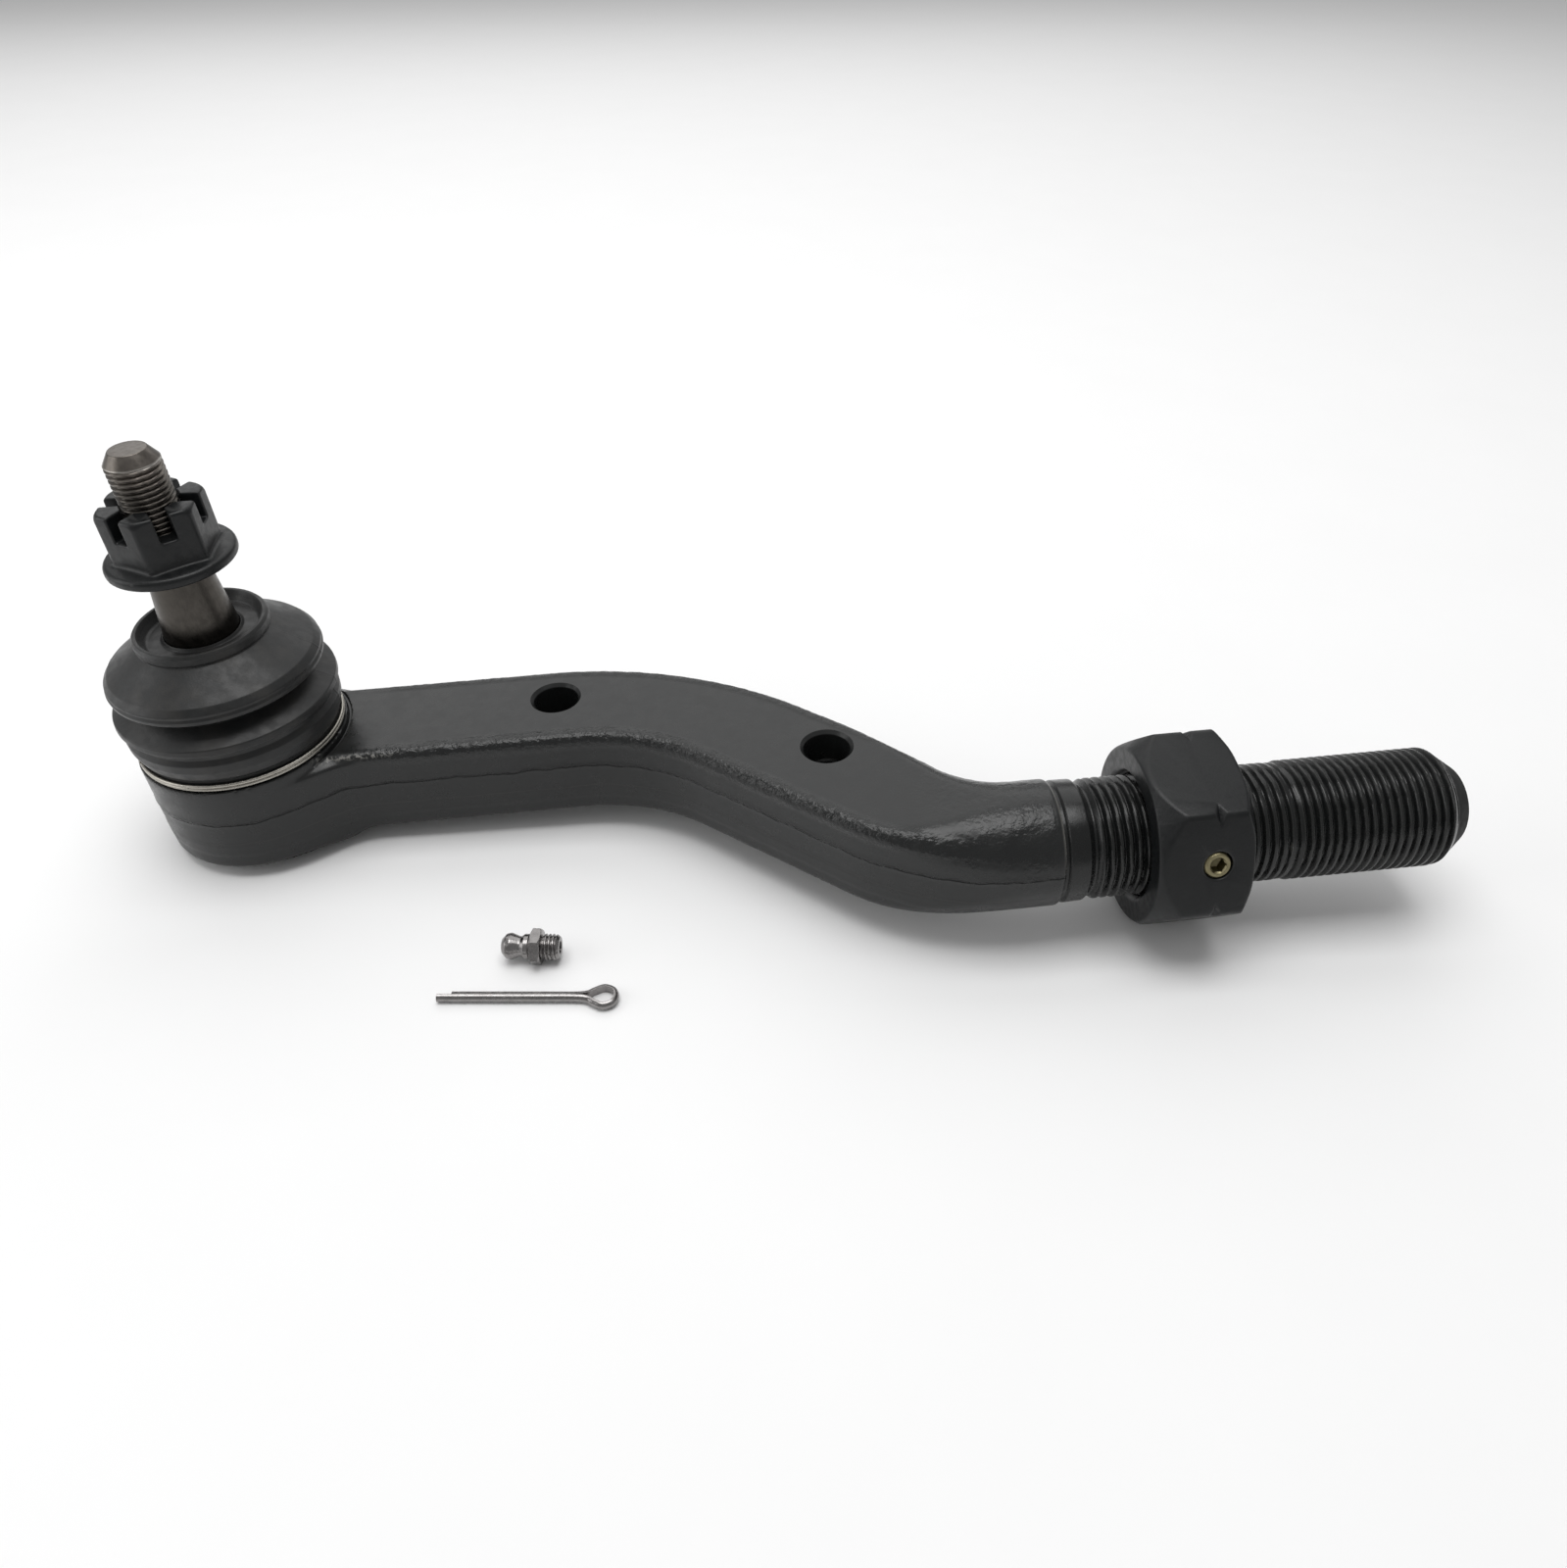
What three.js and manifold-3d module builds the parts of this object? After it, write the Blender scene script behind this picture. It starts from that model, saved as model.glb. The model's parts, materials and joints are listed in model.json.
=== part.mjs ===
// Outer tie rod end for a heavy steering linkage: a forged, S-bent arm with a ball joint at one end
// and a threaded shank with its jam nut at the other. The castle nut sits on the stud, and the
// cotter pin and grease fitting lie loose beside the arm, as the part is supplied.
// Millimetres. The origin is the ball's centre, +Z runs up the stud, +X runs along the shank.
import * as THREE from 'three';
import { mergeVertices } from 'three/addons/utils/BufferGeometryUtils.js';
import Module from 'manifold-3d';

const wasm = await Module();
wasm.setup();

// ---- driving dimensions ----
const GAP = 0.3;                    // air left between pieces that rest on each other
const RUNNING = 0.1;                // radial clearance of parts that turn or slide

const BALL_R = 11.5;
const SWIVEL = THREE.MathUtils.degToRad(26);   // cone the stud can reach inside the housing mouth

const ARM_TOP = 8.5;                // flat top face of the forging
const ARM_HEIGHT = 24;
const ARM_MID = ARM_TOP - ARM_HEIGHT / 2;
const ARM_CORNER_R = 2.6;           // rounding of the bar's long edges
const BEND = THREE.MathUtils.degToRad(41);     // slant of the S between its two bends
const FAR_WALL_Y = 16;
const NEAR_WALL_Y = -14.7;
const FORGING_END_X = 196;

const HOUSING_R = 25.6;
const HOUSING_BOTTOM = -15.5;
const LIP_R = 21.5;                 // rolled lip that holds the cover plate
const LIP_BOTTOM = -17.5;
const LIP_MOUTH_R = 18.2;
const SEAT_R = 22.8;                // turned seat that the dust boot grips
const SEAT_TOP = 13;
const SEAT_BASE = 9.4;              // turned face round that seat
const GROOVE_R = HOUSING_R + 0.8;   // the cutter that turned it left a groove in the arm's top face
const GROOVE_BASE = ARM_TOP - 0.9;
const SOCKET_R = 16.6;
const SOCKET_FLOOR = -14.3;
const SOCKET_ROOF = 6.5;
const COVER_R = 19.3;
const COVER_BOTTOM = -16.5;
const COVER_TOP = -14.6;

const SHANK_Y = -55.3;
const SHANK_THREAD_R = 28.575 / 2;  // 1-1/8 in - 12 UNF
const SHANK_RELIEF_R = 14.05;
const SHANK_NECK_R = 14.55;
const SHANK_END_X = 293.3;
const FORGING_END_R = 15;
const THREAD_ROOT_R = 13.3;         // undercuts at the thread's ends
const RELIEF = [236.6, 248.9];      // unthreaded stretch in the middle of the thread

const HOLE_R = 5.75;
const HOLE_CHAMFER = 0.85;
const HOLES = [[79, 3], [146.7, -27]];

const STUD_NECK_R = 6.6;
const STUD_SEAT_R = 8.6;            // large end of the taper
const TAPER_BOTTOM = 40.5;
const NUT_SEAT = 58.5;              // underside of the castle nut
const STUD_THREAD_R = 6;            // M12 x 1.25
const STUD_TOP = 85.75;
const COTTER_HOLE_R = 1.75;
const COTTER_HOLE_Z = 70;

const CASTLE_AF = 21;
const CASTLE_TOP = 73.7;
const CASTLE_FLANGE_R = 14.5;
const CASTLE_FLANGE_H = 2.9;
const SLOT_WIDTH = 3.6;
const SLOT_DEPTH = 6;

const JAM_AF = 42.8;
const JAM_LEFT_X = 214.8;
const JAM_RIGHT_X = 236.5;
const JAM_CONE = 5.9;                // length of the wide chamfer on its arm side
const JAM_ROLL = THREE.MathUtils.degToRad(9.7);          // of a corner, from +Y towards +Z
const SET_SCREW_X = 228;
const SET_SCREW_R = 3.175;
const SET_SCREW_LENGTH = 6.3;
const SET_SCREW_SOCKET_AF = 3.175;
const SET_SCREW_TURN = THREE.MathUtils.degToRad(159.7);   // from +Y towards +Z

const BOOT_FOOT_Z = SEAT_BASE + GAP;
const BOOT_LIP_TOP = 42;
const RING_WIRE = 0.95;
const RING_Z = 10.7;
const RING_R = 25.25;
const NECK_RING = { inner: 9.1, outer: 11.2, bottom: 34.9, top: 36.4 };

const FITTING_LENGTH = 13.7;
const FITTING_HEX = [6.9, 9.4];      // from its rounded end
const FITTING_AF = 7.94;
const COTTER_LENGTH = 41.8;
const COTTER_WIRE_H = 2.4;
const COTTER_WIRE_W = 1.2;
const COTTER_EYE_R = 2.9;
const FITTING_SPOT = [LIP_R + 65, -58.4];      // along and across the surface they lie on
const FITTING_TURN = THREE.MathUtils.degToRad(-7.4);
const PIN_SPOT = [LIP_R + 50.6, -70.1];
const PIN_TURN = THREE.MathUtils.degToRad(-5.6);

const ROUND = 40;                   // facets round a large turned piece
const SMALL_ROUND = 16;

// ---- solids ----
function signedVolume(position, index) {
  const a = new THREE.Vector3(), b = new THREE.Vector3(), c = new THREE.Vector3();
  let volume = 0;
  for (let i = 0; i < index.length; i += 3) {
    a.fromBufferAttribute(position, index[i]);
    b.fromBufferAttribute(position, index[i + 1]);
    c.fromBufferAttribute(position, index[i + 2]);
    volume += a.dot(b.cross(c)) / 6;
  }
  return volume;
}

// A closed geometry as a manifold solid, its faces turned outwards.
function solid(geometry) {
  const bare = geometry.clone();
  bare.deleteAttribute('normal');
  bare.deleteAttribute('uv');
  const merged = mergeVertices(bare, 1e-4);
  const index = [];
  const all = merged.index.array;
  for (let i = 0; i < all.length; i += 3) {
    const [a, b, c] = [all[i], all[i + 1], all[i + 2]];
    if (a !== b && b !== c && c !== a) index.push(a, b, c);
  }
  if (signedVolume(merged.attributes.position, index) < 0) index.reverse();
  const vertProperties = new Float32Array(merged.attributes.position.array);
  return new wasm.Manifold(new wasm.Mesh({ numProp: 3, vertProperties, triVerts: new Uint32Array(index) }));
}

function geometryOf(body) {
  const mesh = body.getMesh();
  const geometry = new THREE.BufferGeometry();
  geometry.setAttribute('position', new THREE.BufferAttribute(new Float32Array(mesh.vertProperties), 3));
  geometry.setIndex(new THREE.BufferAttribute(new Uint32Array(mesh.triVerts), 1));
  geometry.computeVertexNormals();
  return geometry;
}

const point = ([r, z]) => new THREE.Vector2(r, z);

// A profile of [radius, height] points turned round +Z.
function turned(profile, segments = ROUND) {
  return new THREE.LatheGeometry(profile.map(point), segments).rotateX(Math.PI / 2);
}

// The same, closed on itself for a ring.
function turnedRing(profile, segments = ROUND) {
  return turned([...profile, profile[0]], segments);
}

// Points of an arc in a profile, angles in degrees from +radius towards +height.
function arc(r, z, radius, from, to, steps) {
  return Array.from({ length: steps + 1 }, (_, i) => {
    const angle = THREE.MathUtils.degToRad(from + (to - from) * i / steps);
    return [r + radius * Math.cos(angle), z + radius * Math.sin(angle)];
  });
}

// A six-sided prism along +Z with a corner in the direction of the angle "corner".
function hexPrism(acrossFlats, bottom, top, corner = 0) {
  const shape = new THREE.Shape(Array.from({ length: 6 }, (_, i) => {
    const angle = corner + i * Math.PI / 3;
    return new THREE.Vector2(Math.cos(angle), Math.sin(angle)).multiplyScalar(acrossFlats / Math.sqrt(3));
  }));
  const prism = new THREE.ExtrudeGeometry(shape, { depth: top - bottom, bevelEnabled: false });
  return prism.translate(0, 0, bottom);
}

// A closed skin over a list of rings that all have the same number of points.
function loft(rings) {
  const count = rings[0].length;
  const vertices = rings.flat().flatMap((v) => [v.x, v.y, v.z]);
  const index = [];
  for (let i = 0; i + 1 < rings.length; i++) {
    for (let j = 0; j < count; j++) {
      const a = i * count + j;
      const b = i * count + (j + 1) % count;
      index.push(a, b, b + count, a, b + count, a + count);
    }
  }
  const last = (rings.length - 1) * count;
  for (let j = 1; j + 1 < count; j++) {
    index.push(0, j + 1, j, last, last + j, last + j + 1);
  }
  const geometry = new THREE.BufferGeometry();
  geometry.setAttribute('position', new THREE.BufferAttribute(new Float32Array(vertices), 3));
  geometry.setIndex(index);
  return geometry;
}

const along = (geometry) => geometry.rotateY(Math.PI / 2);     // a turned piece laid along +X
const tanHalfBend = Math.tan(BEND / 2);

// One wall or the middle line of the S-bent arm: level, a bend down, a slant, a bend back, level.
// slantX is where the slant would cross the first level; the radii are those of the two bends.
function sBend(firstY, slantX, firstRadius, lastY, lastRadius, endX) {
  const cornerX = slantX + (firstY - lastY) / Math.tan(BEND);
  const start = slantX - firstRadius * tanHalfBend;
  const end = cornerX + lastRadius * tanHalfBend;
  const quarter = Math.PI / 2;
  const path = new THREE.Path();
  path.moveTo(0, firstY);
  path.lineTo(start, firstY);
  path.absarc(start, firstY - firstRadius, firstRadius, quarter, quarter - BEND, true);
  path.absarc(end, lastY + lastRadius, lastRadius, -quarter - BEND, -quarter, false);
  path.lineTo(endX, lastY);
  return path;
}

const FAR_WALL = sBend(FAR_WALL_Y, 114.1, 100, SHANK_Y + FORGING_END_R, 20, FORGING_END_X + 40);
const NEAR_WALL = sBend(NEAR_WALL_Y, 101.5, 46.8, SHANK_Y - FORGING_END_R, 64, FORGING_END_X + 40);
const MIDDLE = sBend(0.5, 107.8, 85, SHANK_Y, 42, FORGING_END_X);

// Distance from a point to a wall, measured in one direction.
function reach(from, direction, wall) {
  const points = wall.getPoints(24);
  let best = Infinity;
  for (let i = 0; i + 1 < points.length; i++) {
    const edge = points[i + 1].clone().sub(points[i]);
    const across = direction.cross(edge);
    if (Math.abs(across) < 1e-9) continue;
    const offset = points[i].clone().sub(from);
    const distance = offset.cross(edge) / across;
    const share = offset.cross(direction) / across;
    if (distance > 0 && share >= -1e-6 && share <= 1 + 1e-6) best = Math.min(best, distance);
  }
  return best;
}

// A rounded rectangle across the arm at one place on its middle line.
function armSection(centre, heading) {
  const side = new THREE.Vector2(-heading.y, heading.x);
  const swell = THREE.MathUtils.smoothstep(centre.x, 150, 188);
  const far = reach(centre, side, FAR_WALL);
  const near = reach(centre, side.clone().negate(), NEAR_WALL);
  const halfHeight = THREE.MathUtils.lerp(ARM_HEIGHT / 2, FORGING_END_R, swell);
  const radius = THREE.MathUtils.lerp(ARM_CORNER_R, FORGING_END_R - 0.05, swell);
  const ring = [];
  for (const [u, v, from] of [[far, 1, 0], [-near, 1, 90], [-near, -1, 180], [far, -1, 270]]) {
    for (let k = 0; k <= 4; k++) {
      const angle = THREE.MathUtils.degToRad(from + 22.5 * k);
      const across = u - Math.sign(u) * radius + radius * Math.cos(angle);
      const up = v * (halfHeight - radius) + radius * Math.sin(angle);
      ring.push(new THREE.Vector3(centre.x + side.x * across, centre.y + side.y * across, ARM_MID + up));
    }
  }
  return ring;
}

function armBar() {
  const rings = [];
  const steps = 36;
  for (let i = 0; i <= steps; i++) {
    const t = i / steps;
    rings.push(armSection(MIDDLE.getPointAt(t), MIDDLE.getTangentAt(t)));
  }
  return solid(loft(rings));
}

function housingBody() {
  return solid(turned([
    [0, LIP_BOTTOM], [LIP_R - 0.6, LIP_BOTTOM], [LIP_R, LIP_BOTTOM + 0.6], [LIP_R, HOUSING_BOTTOM],
    [HOUSING_R - 1.8, HOUSING_BOTTOM], ...arc(HOUSING_R - 1.8, HOUSING_BOTTOM + 1.8, 1.8, -60, 0, 2),
    [HOUSING_R, SEAT_BASE], [SEAT_R, SEAT_BASE], [SEAT_R, SEAT_TOP], [0, SEAT_TOP],
  ]));
}

function housingSocket() {
  const mouth = (z) => STUD_NECK_R / Math.cos(SWIVEL) + z * Math.tan(SWIVEL) + 0.45;
  return solid(turned([
    [0, LIP_BOTTOM - 1], [LIP_MOUTH_R, LIP_BOTTOM - 1], [LIP_MOUTH_R, LIP_BOTTOM + 0.6],
    [COVER_R + GAP, LIP_BOTTOM + 0.6], [COVER_R + GAP, SOCKET_FLOOR], [SOCKET_R, SOCKET_FLOOR],
    [SOCKET_R, SOCKET_ROOF], [mouth(SOCKET_ROOF), SOCKET_ROOF], [mouth(SEAT_TOP + 1), SEAT_TOP + 1],
    [0, SEAT_TOP + 1],
  ]));
}

function shank() {
  const thread = SHANK_THREAD_R;
  return solid(along(turned([
    [0, FORGING_END_X - 8], [SHANK_NECK_R, FORGING_END_X - 8], [SHANK_NECK_R, 202.6],
    [THREAD_ROOT_R, 203.2], [THREAD_ROOT_R, 203.8], [thread, 204.6], [thread, RELIEF[0]],
    [SHANK_RELIEF_R, RELIEF[0] + 0.3], [SHANK_RELIEF_R, RELIEF[1]], [THREAD_ROOT_R, RELIEF[1] + 0.6],
    [THREAD_ROOT_R, 250.8], [thread, 251.6], [thread, 287.2], [13, 288.5],
    [9.5, SHANK_END_X], [0, SHANK_END_X],
  ])).translate(0, SHANK_Y, ARM_MID));
}

function throughHole(x, y) {
  const wide = HOLE_R + HOLE_CHAMFER;
  const bottom = ARM_TOP - ARM_HEIGHT;
  return solid(turned([
    [0, bottom - 3], [wide, bottom - 3], [wide, bottom], [HOLE_R, bottom + HOLE_CHAMFER],
    [HOLE_R, ARM_TOP - HOLE_CHAMFER], [wide, ARM_TOP], [wide, ARM_TOP + 3], [0, ARM_TOP + 3],
  ], 20).translate(x, y, 0));
}

// The groove that the seat's cutter left in the arm's top face, round the housing.
function seatGroove() {
  const top = ARM_TOP + 4;
  return solid(turnedRing([[SEAT_R, GROOVE_BASE], [GROOVE_R, GROOVE_BASE], [GROOVE_R, top], [SEAT_R, top]]));
}

function forgedArm() {
  let body = armBar().add(shank()).subtract(seatGroove()).add(housingBody());
  body = body.subtract(housingSocket());
  for (const [x, y] of HOLES) body = body.subtract(throughHole(x, y));
  return body;
}

function ballStud() {
  const neckAngle = THREE.MathUtils.radToDeg(Math.acos(STUD_NECK_R / BALL_R));
  const stud = solid(turned([
    [0, -11.05], ...arc(0, 0, BALL_R, -74, neckAngle, 11), [STUD_NECK_R, 17], [8.1, 22.5],
    [STUD_SEAT_R, 25], [STUD_SEAT_R, TAPER_BOTTOM], [6.75, 57.6], [STUD_THREAD_R - 0.7, 58.2],
    [STUD_THREAD_R - 0.7, 59], [STUD_THREAD_R, 59.8], [STUD_THREAD_R, STUD_TOP - 2.8],
    [3.85, STUD_TOP], [0, STUD_TOP],
  ]));
  const drill = new THREE.CylinderGeometry(COTTER_HOLE_R, COTTER_HOLE_R, 20, 16);
  return stud.subtract(solid(drill.rotateZ(Math.PI / 2).translate(0, 0, COTTER_HOLE_Z)));
}

function upperBearing() {
  const inner = BALL_R + RUNNING;
  const top = THREE.MathUtils.radToDeg(Math.asin(4.4 / inner));
  return solid(turnedRing([
    ...arc(0, 0, inner, 4, top, 3), [11.1, 6.2], [SOCKET_R - GAP, 6.2], [SOCKET_R - GAP, 0.81],
  ]));
}

function lowerBearing() {
  const inner = BALL_R + RUNNING;
  return solid(turnedRing([
    ...arc(0, 0, inner, -80, -2, 7), [SOCKET_R - GAP, -0.4], [SOCKET_R - GAP, -10.5],
    [13.2, -12.9], [2.01, -12.9],
  ]));
}

function springWasher() {
  return solid(turnedRing([[6, -13.9], [15.6, -14.2], [15.6, -13.5], [6, -13.2]]));
}

function coverPlate() {
  return solid(turnedRing([
    [2.75, COVER_BOTTOM], [5.5, COVER_BOTTOM], [6.3, COVER_BOTTOM - 0.4], [12, COVER_BOTTOM - 0.4],
    [13, COVER_BOTTOM], [COVER_R, COVER_BOTTOM], [COVER_R, COVER_TOP], [2.75, COVER_TOP],
  ]));
}

function dustBoot() {
  const foot = BOOT_FOOT_Z;
  return solid(turnedRing([
    [23.1, foot], [24.2, foot], [24.2, 12.4], [25, 13.4], [25.7, 15.6], [25.9, 17.6], [25.1, 19.3],
    [25.3, 20.6], [26.7, 21.6], [26.6, 23], [20.3, 26.9], [20.3, 27.6], [24.7, 29.3], [25.2, 30.2],
    [25, 31.8], [23.9, 33.3], [15.4, 38.9], [15.6, 39.6], [15.6, 41.2], [14.9, BOOT_LIP_TOP],
    [14.3, BOOT_LIP_TOP], [13.7, 40.6], [12.9, 39.3], [10.2, 39], [8.8, 39.6], [8.8, 37.4], [12.6, 37.3],
    [14.2, 37.3], [22.4, 32.2], [22.9, 31.3], [22.4, 30.4], [18.8, 28.6], [18.4, 27.6], [18.4, 26.5],
    [24.2, 22.1], [24, 20.4], [23.9, 17.4], [23, 15.2], [23.1, 13.2],
  ]));
}

// Two turns of spring wire, one on the other.
function bootLowerRing() {
  const r = RING_R - RING_WIRE / 2;
  const lift = RING_WIRE * 0.45;
  return solid(turnedRing([
    ...arc(r, RING_Z - lift, RING_WIRE / 2, 205, 385, 4),
    ...arc(r, RING_Z + lift, RING_WIRE / 2, -25, 155, 4),
    [r - RING_WIRE * 0.45, RING_Z],
  ], ROUND));
}

function bootNeckRing() {
  const { inner, outer, bottom, top } = NECK_RING;
  return solid(turnedRing([[inner, bottom], [outer, bottom], [outer, top], [inner, top]], 24));
}

function castleNut() {
  const corner = CASTLE_AF / Math.sqrt(3);
  const flangeTop = NUT_SEAT + CASTLE_FLANGE_H;
  const hex = solid(hexPrism(CASTLE_AF, NUT_SEAT + 1, CASTLE_TOP, Math.PI / 6));
  const crown = solid(turned([
    [0, NUT_SEAT], [corner + 0.2, NUT_SEAT], [corner + 0.2, CASTLE_TOP - 1.2],
    [corner - 1.2, CASTLE_TOP], [0, CASTLE_TOP],
  ]));
  const flange = solid(turned([
    [0, NUT_SEAT], [CASTLE_FLANGE_R - 0.6, NUT_SEAT], [CASTLE_FLANGE_R, NUT_SEAT + 0.7],
    [CASTLE_FLANGE_R, flangeTop - 0.9], [CASTLE_FLANGE_R - 0.7, flangeTop], [12.8, flangeTop - 0.2],
    [12, flangeTop + 0.3], [11.2, flangeTop + 1.5], [0, flangeTop + 1.5],
  ]));
  const bore = solid(turned([
    [0, NUT_SEAT - 1], [7.3, NUT_SEAT - 1], [7.3, NUT_SEAT + 0.1], [STUD_THREAD_R + RUNNING, NUT_SEAT + 1.2],
    [STUD_THREAD_R + RUNNING, CASTLE_TOP + 1], [0, CASTLE_TOP + 1],
  ], 24));
  let nut = hex.intersect(crown).add(flange).subtract(bore);
  for (let i = 0; i < 3; i++) {
    const slot = new THREE.BoxGeometry(3 * CASTLE_AF, SLOT_WIDTH, SLOT_DEPTH + 2);
    slot.translate(0, 0, CASTLE_TOP + 1 - SLOT_DEPTH / 2).rotateZ(i * Math.PI / 3);
    nut = nut.subtract(solid(slot));
  }
  return nut;
}

function jamNut() {
  const corner = JAM_AF / Math.sqrt(3);
  const width = JAM_RIGHT_X - JAM_LEFT_X;
  const firstCorner = JAM_ROLL + Math.PI / 6;
  const hex = solid(hexPrism(JAM_AF, 0, width, firstCorner));
  const envelope = solid(turned([
    [0, 0], [20.6, 0], [21.6, 1.1], [corner + 0.05, JAM_CONE], [corner + 0.05, width - 2.2], [21.3, width],
    [0, width],
  ]));
  const bore = solid(turned([
    [0, -1], [15.6, -1], [15.6, 0], [SHANK_THREAD_R + 0.15, 1.3], [SHANK_THREAD_R + 0.15, width - 1.3],
    [15.6, width], [15.6, width + 1], [0, width + 1],
  ]));
  let nut = hex.intersect(envelope).subtract(bore);
  const middle = SET_SCREW_X - JAM_LEFT_X;
  for (let i = 0; i < 6; i++) {
    const notch = new THREE.BoxGeometry(1.8, 14, 1.8).rotateY(Math.PI / 4);
    nut = nut.subtract(solid(notch.translate(corner, 0, middle).rotateZ(firstCorner + i * Math.PI / 3)));
  }
  const drill = new THREE.CylinderGeometry(SET_SCREW_R + RUNNING, SET_SCREW_R + RUNNING, 14, SMALL_ROUND);
  drill.rotateZ(Math.PI / 2).translate(JAM_AF / 2, 0, middle).rotateZ(SET_SCREW_TURN + Math.PI / 2);
  return nut.subtract(solid(drill));
}

function setScrew() {
  const half = SET_SCREW_R;
  const body = solid(turned([
    [0, 0], [half - 1, 0], [half, 1], [half, SET_SCREW_LENGTH - 0.5], [half - 0.5, SET_SCREW_LENGTH],
    [0, SET_SCREW_LENGTH],
  ], SMALL_ROUND));
  return body.subtract(solid(hexPrism(SET_SCREW_SOCKET_AF, SET_SCREW_LENGTH - 3, SET_SCREW_LENGTH + 1)));
}

function greaseFitting() {
  const [hexLow, hexHigh] = FITTING_HEX;
  const corner = FITTING_AF / Math.sqrt(3);
  const body = solid(turned([
    [0, 0], [1.9, 0], [2.9, 0.9], [3.2, 2], [3.2, 2.6], [2.5, 4], [2.5, 4.6], [3, 5.4], [3, 9.8],
    [2.7, 9.9], [3.15, 10.4], [3.15, 12.9], [2.5, FITTING_LENGTH], [0, FITTING_LENGTH],
  ], SMALL_ROUND));
  const hex = solid(hexPrism(FITTING_AF, hexLow, hexHigh, Math.PI / 6));
  const trim = solid(turned([
    [0, hexLow], [3.9, hexLow], [corner, hexLow + 0.4], [corner, hexHigh - 0.4], [3.9, hexHigh], [0, hexHigh],
  ], SMALL_ROUND));
  const bore = solid(turned([
    [0, -1], [0.8, -1], [0.8, 0.5], [1.45, 1.3], [1.45, FITTING_LENGTH + 1], [0, FITTING_LENGTH + 1],
  ], SMALL_ROUND));
  return body.add(hex.intersect(trim)).subtract(bore);
}

function checkBall() {
  return solid(turned([[0, 0.95], ...arc(0, 2.2, 1.25, -80, 80, 8), [0, 3.45]], 16));
}

// The check ball's coil spring, as the sleeve that its turns fill.
function checkSpring() {
  return solid(turnedRing([[0.8, 3.6], [1.3, 3.6], [1.3, 12.1], [0.8, 12.1]], 16));
}

// A half-round wire bent double round an eye; one leg is longer than the other.
function cotterPin() {
  const eyeR = COTTER_EYE_R;
  const legY = COTTER_WIRE_W / 2 + 0.3;
  const eyeX = COTTER_LENGTH - eyeR - COTTER_WIRE_W / 2;
  const path = new THREE.CatmullRomCurve3([
    [0, -legY], [12, -legY], [24, -legY], [eyeX - 7, -legY], [eyeX - 4, -legY - 0.3],
    [eyeX - 2.2, -eyeR + 0.9],
    [eyeX, -eyeR], [eyeX + 2.2, -eyeR + 0.9], [eyeX + eyeR, 0], [eyeX + 2.2, eyeR - 0.9], [eyeX, eyeR],
    [eyeX - 2.2, eyeR - 0.9], [eyeX - 4, legY + 0.3], [eyeX - 7, legY], [24, legY], [14, legY], [3.4, legY],
  ].map(([x, y]) => new THREE.Vector3(x, y, 0)), false);
  const steps = 44;
  const rings = Array.from({ length: steps + 1 }, (_, i) => {
    const centre = path.getPointAt(i / steps);
    const tangent = path.getTangentAt(i / steps);
    const out = new THREE.Vector3(tangent.y, -tangent.x, 0);
    return Array.from({ length: 7 }, (_, k) => {
      const angle = THREE.MathUtils.degToRad(-90 + 30 * k);
      const across = COTTER_WIRE_W * (Math.cos(angle) - 0.5);
      const up = COTTER_WIRE_H / 2 * Math.sin(angle);
      return centre.clone().addScaledVector(out, across).add(new THREE.Vector3(0, 0, up));
    });
  });
  return solid(loft(rings));
}

// ---- materials ----
const finish = (color, roughness, metalness) => (
  new THREE.MeshStandardMaterial({ color, roughness, metalness })
);
const BLACK_PAINT = finish(0x232424, 0.38, 0.1);
const BLACK_RUBBER = finish(0x262524, 0.62, 0);
const BARE_STEEL = finish(0x8a8378, 0.4, 0.9);
const BRIGHT_STEEL = finish(0xb9b4aa, 0.25, 1);
const BLACK_OXIDE = finish(0x2a2c2e, 0.45, 0.6);
const YELLOW_ZINC = finish(0xb79a4a, 0.35, 0.9);
const BRIGHT_ZINC = finish(0xc4c4c2, 0.28, 1);
const SINTERED = finish(0x55524c, 0.6, 0.7);
const BEARING_PLASTIC = finish(0xcfc8b4, 0.5, 0);

// ---- assembly ----
const tieRodEnd = new THREE.Group();

function place(parent, name, body, material) {
  const mesh = new THREE.Mesh(geometryOf(body), material);
  mesh.name = name;
  parent.add(mesh);
  return mesh;
}

place(tieRodEnd, 'forged_arm', forgedArm(), BLACK_PAINT);
place(tieRodEnd, 'upper_bearing', upperBearing(), SINTERED);
place(tieRodEnd, 'lower_bearing', lowerBearing(), BEARING_PLASTIC);
place(tieRodEnd, 'spring_washer', springWasher(), BRIGHT_STEEL);
place(tieRodEnd, 'cover_plate', coverPlate(), BARE_STEEL);
place(tieRodEnd, 'boot_lower_ring', bootLowerRing(), BRIGHT_STEEL);
place(tieRodEnd, 'dust_boot', dustBoot(), BLACK_RUBBER);
place(tieRodEnd, 'boot_neck_ring', bootNeckRing(), BRIGHT_STEEL);
place(tieRodEnd, 'ball_stud', ballStud(), BARE_STEEL);
place(tieRodEnd, 'castle_nut', castleNut(), BLACK_OXIDE);

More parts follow.
